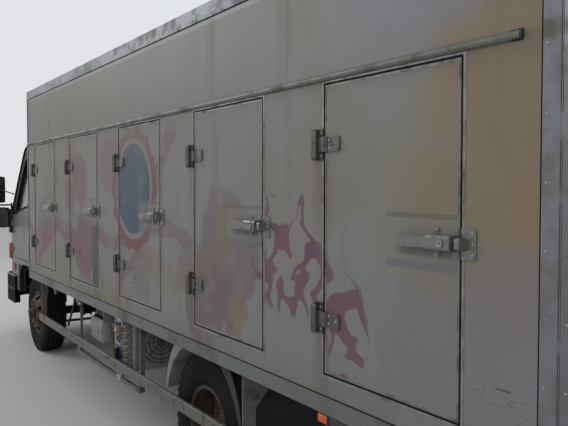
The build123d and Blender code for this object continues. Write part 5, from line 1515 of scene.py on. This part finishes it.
def puff(piece, pressure, cap):
    """Remeshes a closed piece and lets cloth pressure swell it, by no more than the cap."""
    modify(piece, "REMESH", mode="VOXEL", voxel_size=pad_voxel)
    choose(piece)
    before = [vertex.co.copy() for vertex in piece.data.vertices]
    cloth = piece.modifiers.new("cloth", "CLOTH")
    cloth.settings.use_pressure = True
    cloth.settings.uniform_pressure_force = pressure
    cloth.settings.effector_weights.gravity = 0
    cloth.settings.quality = 4
    cloth.point_cache.frame_end = cloth_frames
    scene = bpy.context.scene
    for step in range(1, cloth_frames + 1):
        scene.frame_set(step)
    bpy.ops.object.modifier_apply(modifier=cloth.name)
    scene.frame_set(1)
    for vertex, start in zip(piece.data.vertices, before):
        shift = vertex.co - start
        if shift.length > cap:
            vertex.co = start + shift.normalized() * cap
    return piece


pad_rows = [
    # name, corners in X and Z from the low rear one round, half width in y, cap, foam
    ("seat_cushion", [(0.140, 0.247), (0.618, 0.247), (0.636, 0.368), (0.160, 0.335)], 0.238, 0.014, 0.7),
    ("seat_back", [(0.120, 0.290), (0.238, 0.310), (0.132, 0.845), (0.024, 0.832)], 0.238, 0.013, 0.7),
    ("head_rest", [(0.026, 0.892), (0.110, 0.900), (0.101, 1.048), (0.030, 1.040)], 0.118, 0.008, 0.8),
]
seat_middle = 0.48
for name, corners, half, cap, foam in pad_rows:
    rows = [(seat_x + x, floor_z + z) for x, z in corners]
    pad = puff(slanted(rows, seat_middle - half, seat_middle + half, 0.034), 4.0, cap)
    twin = mirrored(pad)
    for side, cushion in (("left", pad), ("right", twin)):
        settle(cushion, f"{side}_{name}", seat_cloth, slot="seat_cloth", angle=60)
        if name == "seat_cushion" and side == "left":
            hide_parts("seats")
print("pads", 2 * len(pad_rows))

# %% Give the seats their bases, piping and stalks
base_panel = slanted([(seat_x + 0.155, floor_z), (seat_x + 0.595, floor_z),
                      (seat_x + 0.556, floor_z + 0.236), (seat_x + 0.176, floor_z + 0.236)], 0.265, 0.695,
                     0.012)
rails = [block((seat_x + 0.12, y - 0.012, floor_z), (seat_x + 0.63, y + 0.012, floor_z + 0.022), 0.003)
         for y in (0.30, 0.66)]
knob_seat = turned([(0, 0.022), (0.020, 0.020), (0.024, 0.014), (0.024, 0.004), (0.012, 0)],
                   (seat_x + 0.20, 0.712, floor_z + 0.30), "Y", 20)
settle_both([base_panel, knob_seat] + rails, "seat_bases", black_plastic)
stalks = [tube([(seat_x + 0.070, y, floor_z + 0.80), (seat_x + 0.068, y, floor_z + 0.86),
                (seat_x + 0.067, y, floor_z + 0.93)], 0.006) for y in (0.42, 0.54)]
settle_both(stalks, "head_rest_stalks", mirror_metal, slot="aluminium")
piping_rows = [
    # x and z from the seat's foot: along the cushion, then up the back
    [(0.180, 0.338), (0.30, 0.354), (0.48, 0.366), (0.630, 0.366)],
    [(0.243, 0.34), (0.213, 0.50), (0.178, 0.66), (0.143, 0.83)],
]
piping = [tube([(seat_x + x, y, floor_z + z) for x, z in row], 0.004, 6)
          for y in (seat_middle - 0.150, seat_middle + 0.150) for row in piping_rows]
settle_both(piping, "seat_piping", black_rubber, slot="seat_cloth")

# %% Add dials, vents, pedals and the gear lever
dash_x = 3.275
cowl = slanted([(dash_x - 0.010, 1.300), (dash_x + 0.120, 1.300), (dash_x + 0.100, 1.420),
                (dash_x + 0.030, 1.412)], 0.300, 0.660, 0.02)
settle(cowl, "dial_cowl", black_plastic)
dials = []
for y in (0.40, 0.56):
    dials.append(turned([(0.046, 0.000), (0.048, -0.006), (0.052, -0.006), (0.053, 0.004),
                         (0.046, 0.004)], (dash_x - 0.006, y, 1.362), "X", 36, close=True))
dials.append(block((dash_x - 0.010, 0.470, 1.335), (dash_x - 0.004, 0.490, 1.385), 0.002, 1))
settle(dials, "dial_rims", mirror_metal, slot="black_plastic")
faces = [turned([(0, -0.001), (0.046, -0.001), (0.046, 0.004), (0, 0.004)], (dash_x - 0.005, y, 1.362),
                "X", 36, close=True) for y in (0.40, 0.56)]
settle(faces, "dial_faces", black_rubber)
needle = join([block((dash_x - 0.0075, 0.398, 1.362), (dash_x - 0.0065, 0.402, 1.398), 0.0003, 1),
               block((dash_x - 0.0075, 0.558, 1.362), (dash_x - 0.0065, 0.562, 1.392), 0.0003, 1)])
settle(needle, "dial_needles", red_lens)
vents = []
for y in (-0.62, -0.10, 0.10, 0.70):
    vents += [block((3.262, y - 0.052, 1.250 + 0.011 * row), (3.278, y + 0.052, 1.254 + 0.011 * row),
                    0.001, 1) for row in range(5)]
settle(vents, "dash_vents", black_rubber)
glove = pressed_panel((3.262, -0.66, 1.120), (3.275, -0.28, 1.225), -0.003, 0, 0.015)
settle(glove, "glove_box_lid", black_plastic)
pedals = []
for y in (0.36, 0.48, 0.60):
    pedals.append(slanted([(3.16, 1.03), (3.175, 1.025), (3.215, 1.105), (3.20, 1.11)], y - 0.028,
                          y + 0.028, 0.003))
    pedals.append(tube([(3.205, y, 1.08), (3.235, y, 1.12), (3.255, y, 1.20)], 0.007))
settle(pedals, "pedals", black_rubber)
lever_rod = tube([(2.98, 0.02, 0.95), (2.985, 0.02, 1.05), (2.96, 0.03, 1.18), (2.945, 0.04, 1.25)],
                 0.008)
lever_knob = turned([(0, 0.052), (0.016, 0.050), (0.024, 0.040), (0.026, 0.026), (0.020, 0.010),
                     (0.012, 0.0), (0, -0.001)], (2.945, 0.04, 1.235), "Z", 24)
boot = turned([(0.075, 0), (0.070, 0.010), (0.052, 0.018), (0.056, 0.028), (0.038, 0.040), (0.042, 0.050),
               (0.024, 0.065), (0.012, 0.090), (0, 0.092)], (2.98, 0.02, 0.95), "Z", 28)
settle([lever_rod, lever_knob, boot], "gear_lever", black_rubber)
mat = block((2.35, -0.90, 0.950), (3.24, 0.90, 0.956), 0.002, 1)
ridges = [block((2.40 + 0.03 * row, -0.85, 0.956), (2.408 + 0.03 * row, 0.85, 0.9585), 0.001, 1)
          for row in range(27)]
settle([mat] + ridges, "floor_mat", black_rubber)
card = pressed_panel((2.40, 0.9495, 0.96), (3.18, 0.9545, 1.34), -0.004, 1, 0.03)
rest = slanted([(2.62, 1.14), (2.98, 1.14), (3.00, 1.19), (2.60, 1.19)], 0.905, 0.953, 0.012)
pull = turned([(0, -0.012), (0.014, -0.010), (0.016, 0.0), (0.010, 0.006)], (3.02, 0.946, 1.26), "Y", 20)
settle_both([card, rest, pull], "door_cards", black_plastic, "*_cab_door")
print("cab fitted inside")

# %% [markdown]
# ## The rear end, the roof and the inside of the box
# The tail carries lamps, an underrun bar and a blank number plate. Each lamp has three
# coloured lenses in a black tray. Strips cover the roof's seams, each side door has a rubber
# gasket and a pressed liner that show when it is open, and cold plates lie inside as shelves.

# %% Dress the tail
rear_face = -3.74
lens_rows = [(0.575, 0.695, red_lens, "stop"), (0.705, 0.805, orange_lens, "turn"),
             (0.815, 0.945, clear_lens, "reverse")]
for low_y, high_y, finish, part in lens_rows:
    glass_piece = block((rear_face - 0.010, low_y, 0.545), (rear_face + 0.003, high_y, 0.640), 0.005, 3)
    ribs = [block((rear_face - 0.0115, low_y + 0.010, 0.556 + 0.012 * row),
                  (rear_face - 0.009, high_y - 0.010, 0.560 + 0.012 * row), 0.0008, 1)
            for row in range(7)]
    settle_both([glass_piece] + ribs, f"{part}_lenses", finish, slot="lamp")
tray = ring(0.394, 0.120, 0.008, 0.014, 0, 0.5325, 0)
tray.data.transform(Matrix.Translation((rear_face + 0.004, 0.563, 0)) @ Matrix.Rotation(-pi / 2, 4, "Z"))
settle_both(tray, "lamp_trays", black_plastic)
plate = pressed_panel((rear_face - 0.006, -0.26, 0.545), (rear_face - 0.002, 0.26, 0.657), -0.001, 0,
                      0.006)
plate_holder = block((rear_face - 0.003, -0.275, 0.530), (rear_face + 0.010, 0.275, 0.668), 0.003)
settle(plate, "rear_plate", pale_paint)
settle(plate_holder, "rear_plate_holder", black_plastic)
plate_arms = [block((rear_face, y - 0.012, 0.520), (rear_face + 0.012, y + 0.012, 0.545), 0.002, 1)
              for y in (-0.2, 0.2)]
settle(plate_arms, "rear_plate_arms", chassis_paint)
bar_cap = block((-3.742, 0.974, 0.4285), (-3.668, 0.990, 0.5315), 0.005)
settle_both(bar_cap, "underrun_caps", black_rubber)
top_lamp = block((-3.792, 0.930, 2.492), (-3.778, 1.010, 2.524), 0.005, 3)
settle_both(top_lamp, "rear_top_lamps", red_lens)
rivet_rows = [(x_rear_corner, y, 0.95 + 0.18 * step) for y in (-1.07, 1.07) for step in range(9)]
rivet_rows += [(x_rear_corner, -1.0 + 0.2 * step, 2.525) for step in range(11)]
rear_rivets = [Matrix.Translation(place) @ Matrix.Rotation(pi / 2, 4, "Z") for place in rivet_rows]
settle(repeat(rivet(*rivet_size), rear_rivets), "rear_rivets", zinc)

# %% Line the side doors
for number, front in enumerate(door_fronts, 1):
    gasket = ring(door_length - 0.050, door_height - 0.050, 0.020, 0.010, front - 0.025, door_low + 0.025,
                  0.9875)
    liner = pressed_panel((front - door_length + 0.055, 0.9920, door_low + 0.055),
                          (front - 0.055, 0.9965, door_high - 0.055), -0.002, 1, 0.05)
    settle_both(gasket, f"door_gasket_{number}", black_rubber, f"*_side_door_{number}")
    settle_both(liner, f"door_liner_{number}", pale_paint, f"*_side_door_{number}", slot="box_panel")
rack_rows = []
for x in [1.49 - door_pitch * step for step in range(5)]:
    for z in (1.25, 1.60, 1.95):
        rack_rows.append(block((x - 0.46, -0.96, z), (x + 0.46, 0.96, z + 0.012), 0.002, 1))
settle(rack_rows, "cold_plates", aluminium)
print("tail, roof and doors finished")

# %% Strap the tank and seam the roof
straps = []
for x in (-0.08, 0.36):
    straps += [block((x, -0.9045, 0.394), (x + 0.04, -0.899, 0.766), 0.002, 1),
               block((x, -0.9045, 0.760), (x + 0.04, -0.425, 0.766), 0.002, 1),
               block((x, -0.9045, 0.394), (x + 0.04, -0.425, 0.400), 0.002, 1),
               block((x - 0.004, -0.912, 0.56), (x + 0.044, -0.903, 0.60), 0.002, 1)]
settle(straps, "tank_straps", zinc)
roof_seams = [block((x - 0.02, -1.06, 2.5795), (x + 0.02, 1.06, 2.5825), 0.001, 1)
              for x in (0.65, -0.82, -2.29)]
settle(roof_seams, "roof_seams", edge_aluminium)
clamps = [turned([(0.1055, -0.014), (0.1085, -0.014), (0.1085, 0.014), (0.1055, 0.014)],
                 (x, -0.62, 0.505), "X", 40, close=True) for x in (1.10, 1.50)]
settle(clamps, "silencer_clamps", zinc)
print("tank strapped, roof seamed")

# %% [markdown]
# ## Floor, sky and light
# The truck stands on a plain pale floor under a soft overcast light, which suits a photograph
# taken in open shade. The background is white only to the camera and to reflections, so it
# doesn't add light of its own.

# %% Lay the floor
bpy.ops.mesh.primitive_plane_add(size=60, location=(0, 0, 0))
floor = bpy.context.object
floor.name = "studio_floor"
floor_finish = Finish("studio_floor")
floor.data.materials.append(floor_finish.done(base_color=tint(205, 205, 203), roughness=0.9))
print("floor laid")

# %% Light the scene
world = bpy.data.worlds.new("studio_sky")
bpy.context.scene.world = world
world.use_nodes = True
tree = world.node_tree
tree.nodes.clear()
path = tree.nodes.new("ShaderNodeLightPath")
seen = Link(path.outputs["Is Camera Ray"]).math("MAXIMUM", Link(path.outputs["Is Glossy Ray"]))
seen = seen.math("MAXIMUM", Link(path.outputs["Is Transmission Ray"]))
light_sky = tree.nodes.new("ShaderNodeBackground")
light_sky.inputs[0].default_value = (*tint(226, 230, 236), 1)
light_sky.inputs[1].default_value = 0.72
shown_sky = tree.nodes.new("ShaderNodeBackground")
shown_sky.inputs[0].default_value = (*tint(226, 228, 231), 1)
blend = tree.nodes.new("ShaderNodeMixShader")
tree.links.new(seen.socket, blend.inputs[0])
tree.links.new(light_sky.outputs[0], blend.inputs[1])
tree.links.new(shown_sky.outputs[0], blend.inputs[2])
tree.links.new(blend.outputs[0], tree.nodes.new("ShaderNodeOutputWorld").inputs[0])
lamp_rows = [
    # place, the point it faces, size, power
    ((-7, 9, 6), (-2.5, 1, 1.2), 7, 210),
    ((8, 6, 6), (2, 0, 1.2), 5, 200),
    ((-8, -6, 6), (-2, 0, 1.2), 5, 200),
]
for number, (place, aim, size, power) in enumerate(lamp_rows):
    data = bpy.data.lights.new(f"soft_lamp_{number}", "AREA")
    data.size = size
    data.energy = power
    lamp = bpy.data.objects.new(data.name, data)
    facing = (Vector(aim) - Vector(place)).to_track_quat("-Z", "Y")
    lamp.matrix_world = Matrix.Translation(place) @ facing.to_matrix().to_4x4()
    bpy.context.scene.collection.objects.link(lamp)
bpy.context.scene.view_settings.view_transform = "Standard"
print("lamps", len(lamp_rows))
